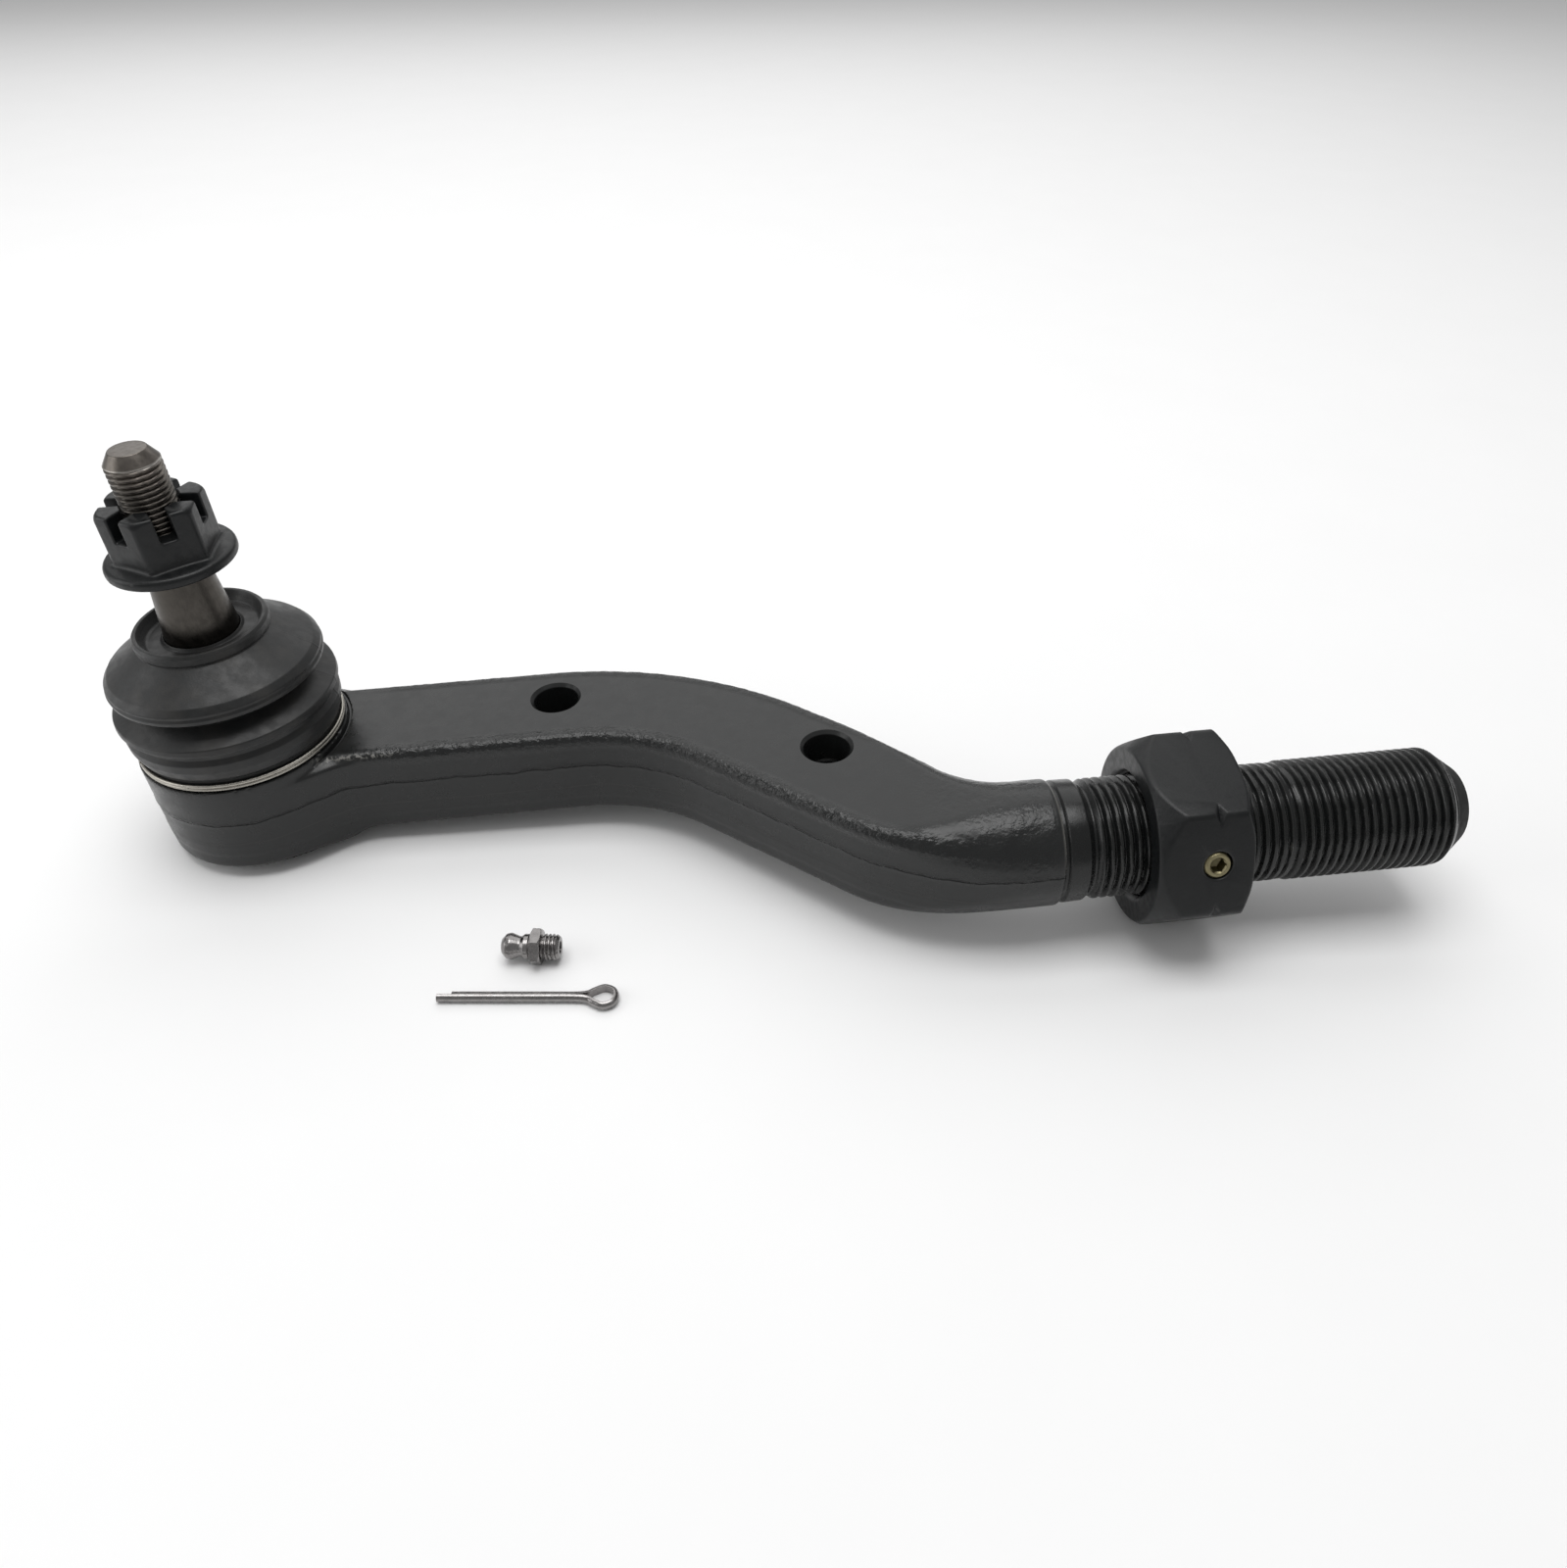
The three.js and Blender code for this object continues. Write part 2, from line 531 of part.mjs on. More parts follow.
// The jam nut and its set screw are drawn along +Z and laid along the shank.
const onShank = new THREE.Group();
onShank.position.set(0, SHANK_Y, ARM_MID);
tieRodEnd.add(onShank);
const jam = place(onShank, 'jam_nut', jamNut(), BLACK_OXIDE);
jam.position.x = JAM_LEFT_X;
jam.rotation.y = Math.PI / 2;
const screw = place(onShank, 'set_screw', setScrew(), YELLOW_ZINC);
const screwOut = new THREE.Vector3(0, Math.cos(SET_SCREW_TURN), Math.sin(SET_SCREW_TURN));
screw.quaternion.setFromUnitVectors(new THREE.Vector3(0, 0, 1), screwOut);
screw.position.copy(screwOut).multiplyScalar(JAM_AF / 2 - SET_SCREW_LENGTH - 0.1);
screw.position.x = SET_SCREW_X;

// The loose pieces lie on the surface that the housing's rim and the jam nut's lowest corner rest
// on. It slopes slightly, because the nut hangs lower than the housing.
const nutDrop = LIP_BOTTOM - ARM_MID + JAM_AF / Math.sqrt(3) * Math.sin(JAM_ROLL + Math.PI / 3);
const surface = new THREE.Group();
surface.position.set(-LIP_R, 0, LIP_BOTTOM);
surface.rotation.y = Math.atan2(nutDrop, JAM_LEFT_X + JAM_CONE + LIP_R);
tieRodEnd.add(surface);

const fitting = new THREE.Group();
fitting.position.set(...FITTING_SPOT, FITTING_AF / 2);
fitting.rotation.z = FITTING_TURN;
surface.add(fitting);
const fittingParts = [
  ['grease_fitting', greaseFitting(), BRIGHT_ZINC],
  ['grease_check_ball', checkBall(), BRIGHT_STEEL],
  ['grease_spring', checkSpring(), BRIGHT_STEEL],
];
for (const [name, body, material] of fittingParts) {
  place(fitting, name, body, material).rotation.y = Math.PI / 2;
}

const pin = place(surface, 'cotter_pin', cotterPin(), BRIGHT_ZINC);
pin.position.set(...PIN_SPOT, COTTER_WIRE_H / 2);
pin.rotation.z = PIN_TURN;

export default tieRodEnd;
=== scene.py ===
"""The looks of an outer tie rod end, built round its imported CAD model.

Every piece is drawn in millimetres in the part's own frame and stored in metres. The origin is
the centre of the stud's ball, +Z runs up the stud and +X runs along the threaded shank.
"""
import json
import math
from itertools import product

import bpy
import numpy as np
from mathutils import Matrix, Vector, noise


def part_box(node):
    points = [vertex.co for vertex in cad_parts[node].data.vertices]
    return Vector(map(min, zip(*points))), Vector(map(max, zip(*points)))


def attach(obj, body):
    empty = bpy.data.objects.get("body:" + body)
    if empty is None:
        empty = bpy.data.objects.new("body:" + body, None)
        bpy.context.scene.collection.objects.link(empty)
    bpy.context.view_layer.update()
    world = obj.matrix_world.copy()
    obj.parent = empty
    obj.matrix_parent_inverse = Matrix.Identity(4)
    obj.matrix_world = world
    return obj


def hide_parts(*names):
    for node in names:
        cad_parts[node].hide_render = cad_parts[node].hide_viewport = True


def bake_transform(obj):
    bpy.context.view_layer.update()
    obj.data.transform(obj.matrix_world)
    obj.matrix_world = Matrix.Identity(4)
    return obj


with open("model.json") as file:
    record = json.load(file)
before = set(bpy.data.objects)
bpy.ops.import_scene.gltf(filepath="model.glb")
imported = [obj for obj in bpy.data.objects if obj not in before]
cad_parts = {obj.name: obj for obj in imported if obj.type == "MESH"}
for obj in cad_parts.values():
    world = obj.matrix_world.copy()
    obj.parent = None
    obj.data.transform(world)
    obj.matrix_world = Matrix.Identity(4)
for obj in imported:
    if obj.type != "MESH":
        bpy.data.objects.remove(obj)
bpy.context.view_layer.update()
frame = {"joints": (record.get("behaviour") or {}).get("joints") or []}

MM = 0.001
TAU = math.tau


def node_box(node):
    """Lowest and highest corner of a CAD node, in millimetres."""
    low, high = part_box(node)
    return low / MM, high / MM


def node_middle(node, axis):
    """Middle of a CAD node's box along one axis, in millimetres."""
    low, high = (getattr(corner, axis) for corner in node_box(node))
    return low / 2 + high / 2


def joint_axis(name):
    """The direction that a joint moves or turns about."""
    return Vector(next(j for j in frame["joints"] if j["name"] == name)["axis"])


# ---- sizes, from the frame where it has them ----
ARM_TOP = 8.5
ARM_BOTTOM = -15.5
ARM_MID = (ARM_TOP + ARM_BOTTOM) / 2
ARM_HALF = (ARM_TOP - ARM_BOTTOM) / 2
PARTING_Z = -0.8                     # the forging's parting line, above the bar's middle
DRAFT_LINE_Z = -7.5                  # fainter line where the lower die's draft changes
BEND = math.radians(41)
SWELL_LOW, SWELL_HIGH = 150, 190     # where the bar grows into its round end
FORGING_END_X = 196
FORGING_END_R = 15
SHANK_Y = node_middle("jam_nut", "y")
SHANK_END_X = node_box("forged_arm")[1].x
CHAMFER_X = 288.6                    # where the shank's end chamfer starts
HOUSING_R = 25.6
SEAT_BASE = 9.4                      # turned face under the boot's ring
GROOVE_BASE = ARM_TOP - 0.9          # groove round it in the arm's top face
SEAT_R = 22.8
COLLAR_TOP = 13                      # top of the collar inside the boot's foot
LIP_R = 21.5                         # rolled lip that holds the cover
LIP_BOTTOM = node_box("forged_arm")[0].z
LIP_MOUTH_R = 18.2
COVER_R = 19.3
COVER_BOTTOM, COVER_TOP = -16.5, -14.6
COVER_DISH = 0.4                     # how far its middle stands out
COVER_HOLE_R = 2.75
SOCKET_R = 16.6                      # bore that holds the ball and its bearings
SOCKET_FLOOR, SOCKET_ROOF = -14.3, 6.5
MOUTH_R = 7.8                        # the socket's flared mouth, at the ball's centre
MOUTH_SLOPE = math.tan(math.radians(26))
BALL_R = 11.5
BALL_GAP = 0.1
HOLES = [(79, 3), (146.7, -27)]
HOLE_R = 5.75
HOLE_CHAMFER = 0.85
SHANK_THREAD_R = 28.575 / 2
SHANK_PITCH = 25.4 / 12
THREAD_ROWS = 12                     # rows of points in one turn of a thread
RING_R = 25.25                       # outside of the wire ring round the boot's foot
NECK_RING_R = (9.1, 11.2)            # inside and outside of the ring in the boot's lip
STUD_TOP = node_box("ball_stud")[1].z
STUD_THREAD_R = 6
STUD_PITCH = 1.25
STUD_NECK_R = 6.6
TAPER_R = 8.6                        # the taper's thick end
PIN_HOLE_R = 1.75
PIN_HOLE_Z = 70
NUT_LOW, NUT_HIGH = (corner.z for corner in node_box("castle_nut"))
CASTLE_AF = 21
CASTLE_FLANGE_R = 14.5
SLOT_DEPTH = 6
SLOT_HALF = 1.8
JAM_LOW, JAM_HIGH = (corner.x for corner in node_box("jam_nut"))
JAM_AF = 42.8
JAM_ROLL = math.radians(9.7)
SET_SCREW_X = node_middle("set_screw", "x")
SCREW_OUT = joint_axis("set_screw_unscrew")
FITTING_AXIS = joint_axis("check_ball_press")
FITTING_SPOT = (LIP_R + 65, -58.4)   # along and across the surface that the loose pieces lie on
PIN_SPOT = (LIP_R + 50.6, -70.1)
PIN_TURN = math.radians(-5.6)
SURFACE_UP = joint_axis("cotter_pin_lift")


# ---- meshes ----
def smooth(low, high, value):
    """0 below low, 1 above high, eased between."""
    t = np.clip((value - low) / (high - low), 0, 1)
    return t * t * (3 - 2 * t)


def filleted(corners, closed=False, steps=5):
    """An outline of (r, z) points from corners (r, z, fillet radius)."""
    out = []
    for i, (r, z, radius) in enumerate(corners):
        here = Vector((r, z))
        if radius <= 0 or (not closed and i in (0, len(corners) - 1)):
            out.append((r, z))
            continue
        before = (Vector(corners[i - 1][:2]) - here).normalized()
        after = (Vector(corners[(i + 1) % len(corners)][:2]) - here).normalized()
        half = before.angle(after) / 2
        centre = here + (before + after).normalized() * radius / math.sin(half)
        start = here + before * radius / math.tan(half) - centre
        end = here + after * radius / math.tan(half) - centre
        sweep = math.pi - 2 * half
        for k in range(steps + 1):
            t = k / steps
            spot = start * math.sin((1 - t) * sweep) + end * math.sin(t * sweep)
            out.append(tuple(centre + spot / math.sin(sweep)))
    return out


def refined(outline, low, high, step):
    """The outline with extra points, step apart, on what lies between the heights low and high."""
    out = [outline[0]]
    for (r0, z0), (r1, z1) in zip(outline, outline[1:]):
        within = low <= min(z0, z1) and max(z0, z1) <= high
        count = max(1, math.ceil(abs(z1 - z0) / step)) if within else 1
        out += [(r0 + (r1 - r0) * k / count, z0 + (z1 - z0) * k / count) for k in range(1, count + 1)]
    return out


def grid_faces(rows, columns, closed):
    """Quads between the rows of a grid whose columns run round."""
    i, j = np.meshgrid(np.arange(rows if closed else rows - 1), np.arange(columns), indexing="ij")
    i, j = i.ravel(), j.ravel()
    above, beside = (i + 1) % rows, (j + 1) % columns
    return np.stack([i * columns + j, i * columns + beside, above * columns + beside, above * columns + j], 1)


def turned(outline, columns=96, closed=False, shape=None, angles=None):
    """Points and quads of an outline turned round +Z. shape(r, z, angle) may change the radius."""
    angles = np.arange(columns) * TAU / columns if angles is None else np.array(angles)
    r, z = np.array(outline, float).T
    r, z, angle = np.broadcast_arrays(r[:, None], z[:, None], angles[None, :])
    if shape:
        r = shape(r, z, angle)
    points = np.stack([r * np.cos(angle), r * np.sin(angle), z], -1).reshape(-1, 3)
    return points, grid_faces(len(outline), len(angles), closed)


def thread_phase(pitch, z, angle):
    """Place on a right-hand thread: 0 in the middle of its groove, 1 in the middle of its crest."""
    return np.abs(2 * ((z / pitch - angle / TAU) % 1) - 1)


def thread(major, pitch, low, high, fade=1.2):
    """A right-hand thread for turned(): cuts its groove between two heights."""
    depth = 0.5 * pitch
    root_width, flank_width = 0.12, 0.62

    def shape(r, z, angle):
        flank = np.clip((thread_phase(pitch, z, angle) - root_width) / flank_width, 0, 1)
        runout = smooth(low, low + fade, z) * (1 - smooth(high - fade, high, z))
        return np.minimum(r, np.where(runout > 0, major - depth * (1 - flank) * runout, r))

    return shape


def swept(path, section):
    """Points and quads of a closed section carried along a path in the XY plane, ends closed."""
    path = np.array(path, float)
    along = np.gradient(path, axis=0)
    along /= np.linalg.norm(along, axis=1)[:, None]
    side = np.stack([along[:, 1], -along[:, 0]], 1)
    side /= np.linalg.norm(side, axis=1)[:, None]
    rings = []
    for spot, out in zip(path, side):
        rings.append([(spot[0] + out[0] * a, spot[1] + out[1] * a, spot[2] + b) for a, b in section])
    for end, ring in ((0, rings[0]), (-1, rings[-1])):
        middle = [tuple(np.mean(ring, 0))] * len(section)
        rings.insert(0 if end == 0 else len(rings), middle)
    return np.array(rings).reshape(-1, 3), grid_faces(len(rings), len(section), False)


def round_section(radius, sides):
    return [(radius * math.cos(a), radius * math.sin(a)) for a in np.arange(sides) * TAU / sides]


def signed_volume(points, faces):
    """Positive where the faces look outwards, up to a factor."""
    a, b, c, d = (points[faces[:, k]] for k in (0, 1, 2, -1))
    both = np.einsum("ij,ij->i", a, np.cross(b, c)) + np.einsum("ij,ij->i", a, np.cross(c, d))
    return both.sum()


def add_mesh(name, points, faces, place=None, sharp=35):
    """A mesh object from millimetres; place is a matrix in millimetres that sets it in the part."""
    points = np.asarray(points, float)
    if signed_volume(points, faces) < 0:
        faces = faces[:, ::-1]
    mesh = bpy.data.meshes.new(name)
    mesh.from_pydata((points * MM).tolist(), [], faces.tolist())
    obj = bpy.data.objects.new(name, mesh)
    bpy.context.scene.collection.objects.link(obj)
    weld = obj.modifiers.new("weld", "WELD")
    weld.merge_threshold = 2e-6
    apply_modifiers(obj)
    if place is not None:
        placed = place.copy()
        placed.translation = placed.translation * MM
        obj.data.transform(placed)
    shade(obj, sharp)
    return obj


def apply_modifiers(obj):
    bpy.context.view_layer.update()
    evaluated = obj.evaluated_get(bpy.context.evaluated_depsgraph_get())
    result = bpy.data.meshes.new_from_object(evaluated)
    obj.modifiers.clear()
    old, obj.data = obj.data, result
    name = old.name
    bpy.data.meshes.remove(old)
    result.name = name


def shade(obj, sharp):
    obj.data.shade_smooth()
    obj.data.set_sharp_from_angle(angle=math.radians(sharp))


def boolean(obj, other, operation):
    """Cuts another object away or joins it on, and uses it up."""
    step = obj.modifiers.new("cut", "BOOLEAN")
    step.operation = operation
    step.solver = "MANIFOLD"
    step.object = other
    apply_modifiers(obj)
    bpy.data.objects.remove(other)


def thinned(obj, share):
    """Fewer triangles where the surface is flat."""
    step = obj.modifiers.new("thin", "DECIMATE")
    step.ratio = share
    apply_modifiers(obj)


def finish_piece(obj, body, nodes, material):
    """Every piece rides on its body, stands for its CAD nodes and has a material."""
    obj.data.materials.clear()
    obj.data.materials.append(material)
    if nodes:
        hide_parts(*nodes)
    if body:
        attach(obj, body)
    return obj


# ---- distance fields: shapes with blended edges ----
def soft_max(a, b, radius):
    """The larger of two distances, rounded where they meet."""
    h = np.clip(0.5 + 0.5 * (a - b) / radius, 0, 1)
    return b + (a - b) * h + radius * h * (1 - h)


def soft_min(a, b, radius):
    return -soft_max(-a, -b, radius)


def hexagon(u, v, flats, corner, radius):
    """Distance to a hexagon with a corner at that angle and rounded corner edges."""
    sides = []
    for k in range(3):
        angle = corner + math.pi / 6 + k * math.pi / 3
        sides.append(np.abs(u * math.cos(angle) + v * math.sin(angle)) - flats / 2)
    return soft_max(soft_max(sides[0], sides[1], radius), sides[2], radius)


def surface_net(field, low, step):
    """One point in each cell that the zero surface crosses, and a quad over each crossed edge."""
    inside = field < 0
    count = sum(
        inside[a:a - 1 or None, b:b - 1 or None, c:c - 1 or None].astype(np.int8)
        for a, b, c in product((0, 1), repeat=3)
    )
    crossed = (count > 0) & (count < 8)
    cells = np.argwhere(crossed)
    number = np.full(crossed.shape, -1, np.int64)
    number[crossed] = np.arange(len(cells))
    total = np.zeros((len(cells), 3))
    hits = np.zeros(len(cells))
    for axis in range(3):
        unit = np.eye(3, dtype=int)[axis]
        for pair in product((0, 1), repeat=2):
            start = np.insert(pair, axis, 0)
            here = cells + start
            there = here + unit
            a, b = field[tuple(here.T)], field[tuple(there.T)]
            cross = (a < 0) != (b < 0)
            share = np.where(cross, a / np.where(cross, a - b, 1), 0)
            total += (start + share[:, None] * unit) * cross[:, None]
            hits += cross
    points = (cells + total / hits[:, None]) * step + low
    quads = []
    for axis in range(3):
        ahead = np.roll(inside, -1, axis)
        edge = inside != ahead
        edge[tuple(slice(-1, None) if k == axis else slice(None) for k in range(3))] = False
        spots = np.argwhere(edge)
        u, v = (np.eye(3, dtype=int)[(axis + k) % 3] for k in (1, 2))
        quad = np.stack([number[tuple((spots - o).T)] for o in (0 * u, u, u + v, v)], 1)
        flip = ~inside[tuple(spots.T)]
        quad[flip] = quad[flip][:, ::-1]
        quads.append(quad)
    return points, np.concatenate(quads)


def gradient(distance, points, reach):
    """How fast a distance grows along each axis, times twice the reach."""
    return np.stack([
        distance(*(points + reach * unit).T) - distance(*(points - reach * unit).T) for unit in np.eye(3)
    ], 1)


def sculpted(distance, low, high, step):
    """Points and quads of the surface where distance(x, y, z) is zero, inside a box."""
    low = np.array(low, float)
    axes = [np.arange(a, b + step, step) for a, b in zip(low, high)]
    field = distance(*np.meshgrid(*axes, indexing="ij", sparse=True))
    points, quads = surface_net(field, low, step)
    reach = step / 4
    for _ in range(3):
        value = distance(*points.T)
        slope = gradient(distance, points, reach) / (2 * reach)
        size = np.maximum((slope ** 2).sum(1), 0.25)
        points = points - np.clip(value / size, -step / 2, step / 2)[:, None] * slope
    return points, quads


# ---- the forging ----
class Wall:
    """A side of the S-bent bar seen from above: level, a bend down, a slant, a bend back, level."""

    def __init__(self, first_y, slant_x, first_radius, last_y, last_radius):
        half = math.tan(BEND / 2)
        corner_x = slant_x + (first_y - last_y) / math.tan(BEND)
        self.start_x = slant_x - first_radius * half
        self.end_x = corner_x + last_radius * half
        self.first_y, self.last_y = first_y, last_y
        self.first = (self.start_x, first_y - first_radius, first_radius)
        self.last = (self.end_x, last_y + last_radius, last_radius)
        self.slant = (slant_x, first_y)

    def above(self, x, y):
        """Distance above the wall (towards +Y), negative below it."""
        normal = (math.sin(BEND), math.cos(BEND))
        along = (math.cos(BEND), -math.sin(BEND))
        slant = (x - self.slant[0]) * normal[0] + (y - self.slant[1]) * normal[1]
        first = np.hypot(x - self.first[0], y - self.first[1]) - self.first[2]
        last = self.last[2] - np.hypot(x - self.last[0], y - self.last[1])
        turn = math.tan(BEND / 2)
        place = (x - self.slant[0]) * along[0] + (y - self.slant[1]) * along[1]
        slant_end = (self.slant[1] - self.last_y) / math.sin(BEND) - self.last[2] * turn
        out = np.where(x < self.start_x, y - self.first_y, first)
        out = np.where((x >= self.start_x) & (place > self.first[2] * turn), slant, out)
        out = np.where((x >= self.start_x) & (place > slant_end), last, out)
        return np.where(x > self.end_x, y - self.last_y, out)


FAR_WALL = Wall(16.0, 114.1, 100, SHANK_Y + FORGING_END_R, 20)
NEAR_WALL = Wall(-14.7, 101.5, 46.8, SHANK_Y - FORGING_END_R, 64)


def bar_distance(x, y, z):
    """The bar: a rounded rectangle between its walls, swelling to a round end at the shank."""
    upper_radius, lower_radius, end_radius = 2.6, 1.4, 1.3
    swell = smooth(SWELL_LOW, SWELL_HIGH, x)
    half = ARM_HALF + (FORGING_END_R - ARM_HALF) * swell
    radius = np.where(z > ARM_MID, upper_radius, lower_radius) * (1 - swell) + (FORGING_END_R - 0.05) * swell
    draft = 0.008 * np.abs(z - PARTING_Z) * (1 - swell)
    side = np.maximum(FAR_WALL.above(x, y), -NEAR_WALL.above(x, y)) + draft
    flat = np.abs(z - ARM_MID) - half
    outer = np.hypot(np.maximum(side + radius, 0), np.maximum(flat + radius, 0))
    bar = np.minimum(np.maximum(side + radius, flat + radius), 0) + outer - radius
    return soft_max(np.maximum(bar, -x), x - FORGING_END_X, end_radius)


def housing_distance(x, y, z):
    """The ball housing: a cylinder with a rounded lower edge and a rolled lip under it."""
    lower_radius, upper_radius, lip_radius = 1.1, 0.5, 0.8
    r = np.hypot(x, y)
    draft = 0.005 * np.maximum(PARTING_Z - z, 0)
    body = soft_max(r - HOUSING_R + draft, ARM_BOTTOM - z, lower_radius)
    body = soft_max(body, z - SEAT_BASE, upper_radius)
    lip = soft_max(soft_max(r - LIP_R, LIP_BOTTOM - z, lip_radius), z, upper_radius)
    return soft_min(body, lip, lip_radius)


def ridges(z, x):
    """The parting line stands a little proud, the line below it hardly at all."""
    flash_height, flash_width = 0.16, 0.7
    step_height, step_width = 0.10, 0.4
    flash = flash_height * np.exp(-((z - PARTING_Z) / flash_width) ** 2)
    step = step_height * (1 - smooth(DRAFT_LINE_Z - step_width, DRAFT_LINE_Z + step_width, z))
    return (flash + step) * (1 - smooth(SWELL_HIGH, FORGING_END_X - 1, x))


def forging_distance(x, y, z):
    """Bar and housing, with a wide fillet between their walls that fades out at the top face."""
    fillet, fillet_at_top, margin = 9.0, 0.3, 4
    blend = fillet * (1 - smooth(ARM_TOP - 2.5, ARM_TOP, z)) + fillet_at_top
    together = soft_min(bar_distance(x, y, z), housing_distance(x, y, z), blend)
    return together - ridges(z, x) * (z < ARM_TOP - margin) * (z > ARM_BOTTOM + margin)


def edge_roughness(points):
    """1 on the scaled, rounded long edges and near the shank, 0 on the flat faces."""
    x, y, z = points.T
    side = np.maximum(FAR_WALL.above(x, y), -NEAR_WALL.above(x, y))
    near_edge = smooth(-4.4, -2.6, side) * smooth(ARM_TOP - 4.4, ARM_TOP - 2.2, z)
    tail = smooth(158, 184, x) * smooth(ARM_MID - 3, ARM_TOP - 2, z)
    bar = smooth(HOUSING_R + 0.4, 40, x)
    before_end = 1 - smooth(FORGING_END_X - 2.5, FORGING_END_X - 1, x)
    return np.clip(near_edge * bar + 0.8 * tail, 0, 1) * before_end


def crackle_glint_mask(points):
    """1 along the near upper edge next to the housing, where the paint has cracked; black_paint colours the
    cracks there light, partly as a painted highlight.
    """
    x, y, z = points.T
    near_edge = smooth(-1.6, -0.9, -NEAR_WALL.above(x, y)) * smooth(ARM_TOP - 1.6, ARM_TOP - 0.5, z)
    return near_edge * smooth(19, 23, x) * (1 - smooth(34, 42, x))


def roughen(points, normals, amount, size, height):
    """Moves points along their normals by noise, more where amount is larger."""
    finer = 2.1
    lift = np.array([
        noise.noise(Vector(p) / size) + 0.5 * noise.noise(Vector(p) * finer / size) for p in points
    ])
    return points + normals * (lift * amount * height)[:, None]


def forging_mesh():
    low = (-29, SHANK_Y - 18, ARM_MID - 18)
    high = (FORGING_END_X + 2, 29, ARM_MID + 18)
    points, quads = sculpted(forging_distance, low, high, 0.6)
    normals = gradient(forging_distance, points, 0.05)
    normals /= np.linalg.norm(normals, axis=1)[:, None]
    rough = edge_roughness(points)
    points = roughen(points, normals, amount=0.05 + 0.95 * rough, size=1.7, height=0.10)
    points[:, 2] = np.clip(points[:, 2], LIP_BOTTOM, None)
    return add_mesh("arm_forging", points, quads, sharp=50)


def hole_cutter(x, y):
    """A drill with a countersink at both ends."""
    wide = HOLE_R + HOLE_CHAMFER + 0.6
    points, faces = turned(filleted([
        (0, ARM_BOTTOM - 3, 0), (wide, ARM_BOTTOM - 3, 0), (wide, ARM_BOTTOM - 0.6, 0),
        (HOLE_R, ARM_BOTTOM + HOLE_CHAMFER, 0.5), (HOLE_R, ARM_TOP - HOLE_CHAMFER, 0.5),
        (wide, ARM_TOP + 0.6, 0), (wide, ARM_TOP + 3, 0), (0, ARM_TOP + 3, 0),
    ]), 72)
    return add_mesh("cutter", points + np.array([x, y, 0]), faces)


def turned_cutter(corners, closed=False):
    points, faces = turned(filleted(corners, closed), 128, closed)
    return add_mesh("cutter", points, faces)


def seat_groove():
    """The groove turned round the housing where it meets the bar's top face."""
    outer = HOUSING_R + 2.0
    return turned_cutter([
        (HOUSING_R, GROOVE_BASE, 0.25), (HOUSING_R + 0.75, GROOVE_BASE, 0.25),
        (HOUSING_R + 0.95, ARM_TOP, 0.15), (outer, ARM_TOP + 0.45, 0),
        (outer, ARM_TOP + 4, 0), (HOUSING_R, ARM_TOP + 4, 0),
    ], closed=True)


def ball_socket():
    """Everything that is bored out of the housing, from the cover's recess to the flared mouth."""
    lip_top, recess_r, above = LIP_BOTTOM + 0.6, 19.6, COLLAR_TOP + 1
    return turned_cutter([
        (0, LIP_BOTTOM - 1, 0), (LIP_MOUTH_R, LIP_BOTTOM - 1, 0), (LIP_MOUTH_R, lip_top, 0.2),
        (recess_r, lip_top, 0), (recess_r, SOCKET_FLOOR, 0), (SOCKET_R, SOCKET_FLOOR, 0),
        (SOCKET_R, SOCKET_ROOF, 0.4), (MOUTH_R + SOCKET_ROOF * MOUTH_SLOPE, SOCKET_ROOF, 0.3),
        (MOUTH_R + above * MOUTH_SLOPE, above, 0), (0, above, 0),
    ])


def make_forging(paint):
    arm = forging_mesh()
    for x, y in HOLES:
        boolean(arm, hole_cutter(x, y), "DIFFERENCE")
    boolean(arm, seat_groove(), "DIFFERENCE")
    collar = turned_cutter([(0, 2, 0), (SEAT_R, 2, 0), (SEAT_R, COLLAR_TOP, 0.5), (0, COLLAR_TOP, 0)])
    boolean(arm, collar, "UNION")
    boolean(arm, ball_socket(), "DIFFERENCE")
    spots = np.array([v.co[:] for v in arm.data.vertices]) / MM
    for name, mask in (("scale_edge", edge_roughness), ("crackle_glint", crackle_glint_mask)):
        attribute = arm.data.attributes.new(name, "FLOAT", "POINT")
        attribute.data.foreach_set("value", mask(spots).astype(np.float32))
    shade(arm, sharp=40)
    finish_piece(arm, "arm", ["forged_arm"], paint)


def shank_place():
    """Turns a piece drawn along +Z into one along +X on the shank's axis."""
    return Matrix.Translation((0, SHANK_Y, ARM_MID)) @ Matrix.Rotation(math.pi / 2, 4, "Y")


def make_shank(paint):
    crest = SHANK_THREAD_R
    root, worn, end_r = 13.2, 13.9, 9.5
    thread_low, thread_high = 203.4, 289
    outline = filleted([
        (0, FORGING_END_X - 4, 0), (worn, FORGING_END_X - 4, 0), (worn, FORGING_END_X + 0.6, 0.3),
        (14.55, FORGING_END_X + 1.2, 0.4), (14.45, 201.6, 0.8), (root, 202.9, 0.6), (root, thread_low, 0.3),
        (crest, 204.4, 0.2), (crest, 236.6, 0), (14.1, 237.2, 0), (14.05, 248.2, 0), (worn, 249.0, 0),
        (worn, 250.9, 0), (crest, 251.7, 0), (crest, 287.0, 0.4), (13.0, CHAMFER_X, 0.3),
        (end_r, SHANK_END_X, 0.9), (0, SHANK_END_X, 0),
    ])
    outline = refined(outline, thread_low, thread_high, SHANK_PITCH / THREAD_ROWS)
    cut = thread(crest, SHANK_PITCH, thread_low - 0.2, thread_high + 0.4)
    shank = add_mesh("arm_shank", *turned(outline, 112, shape=cut), shank_place(), sharp=40)
    finish_piece(shank, "arm", [], paint)


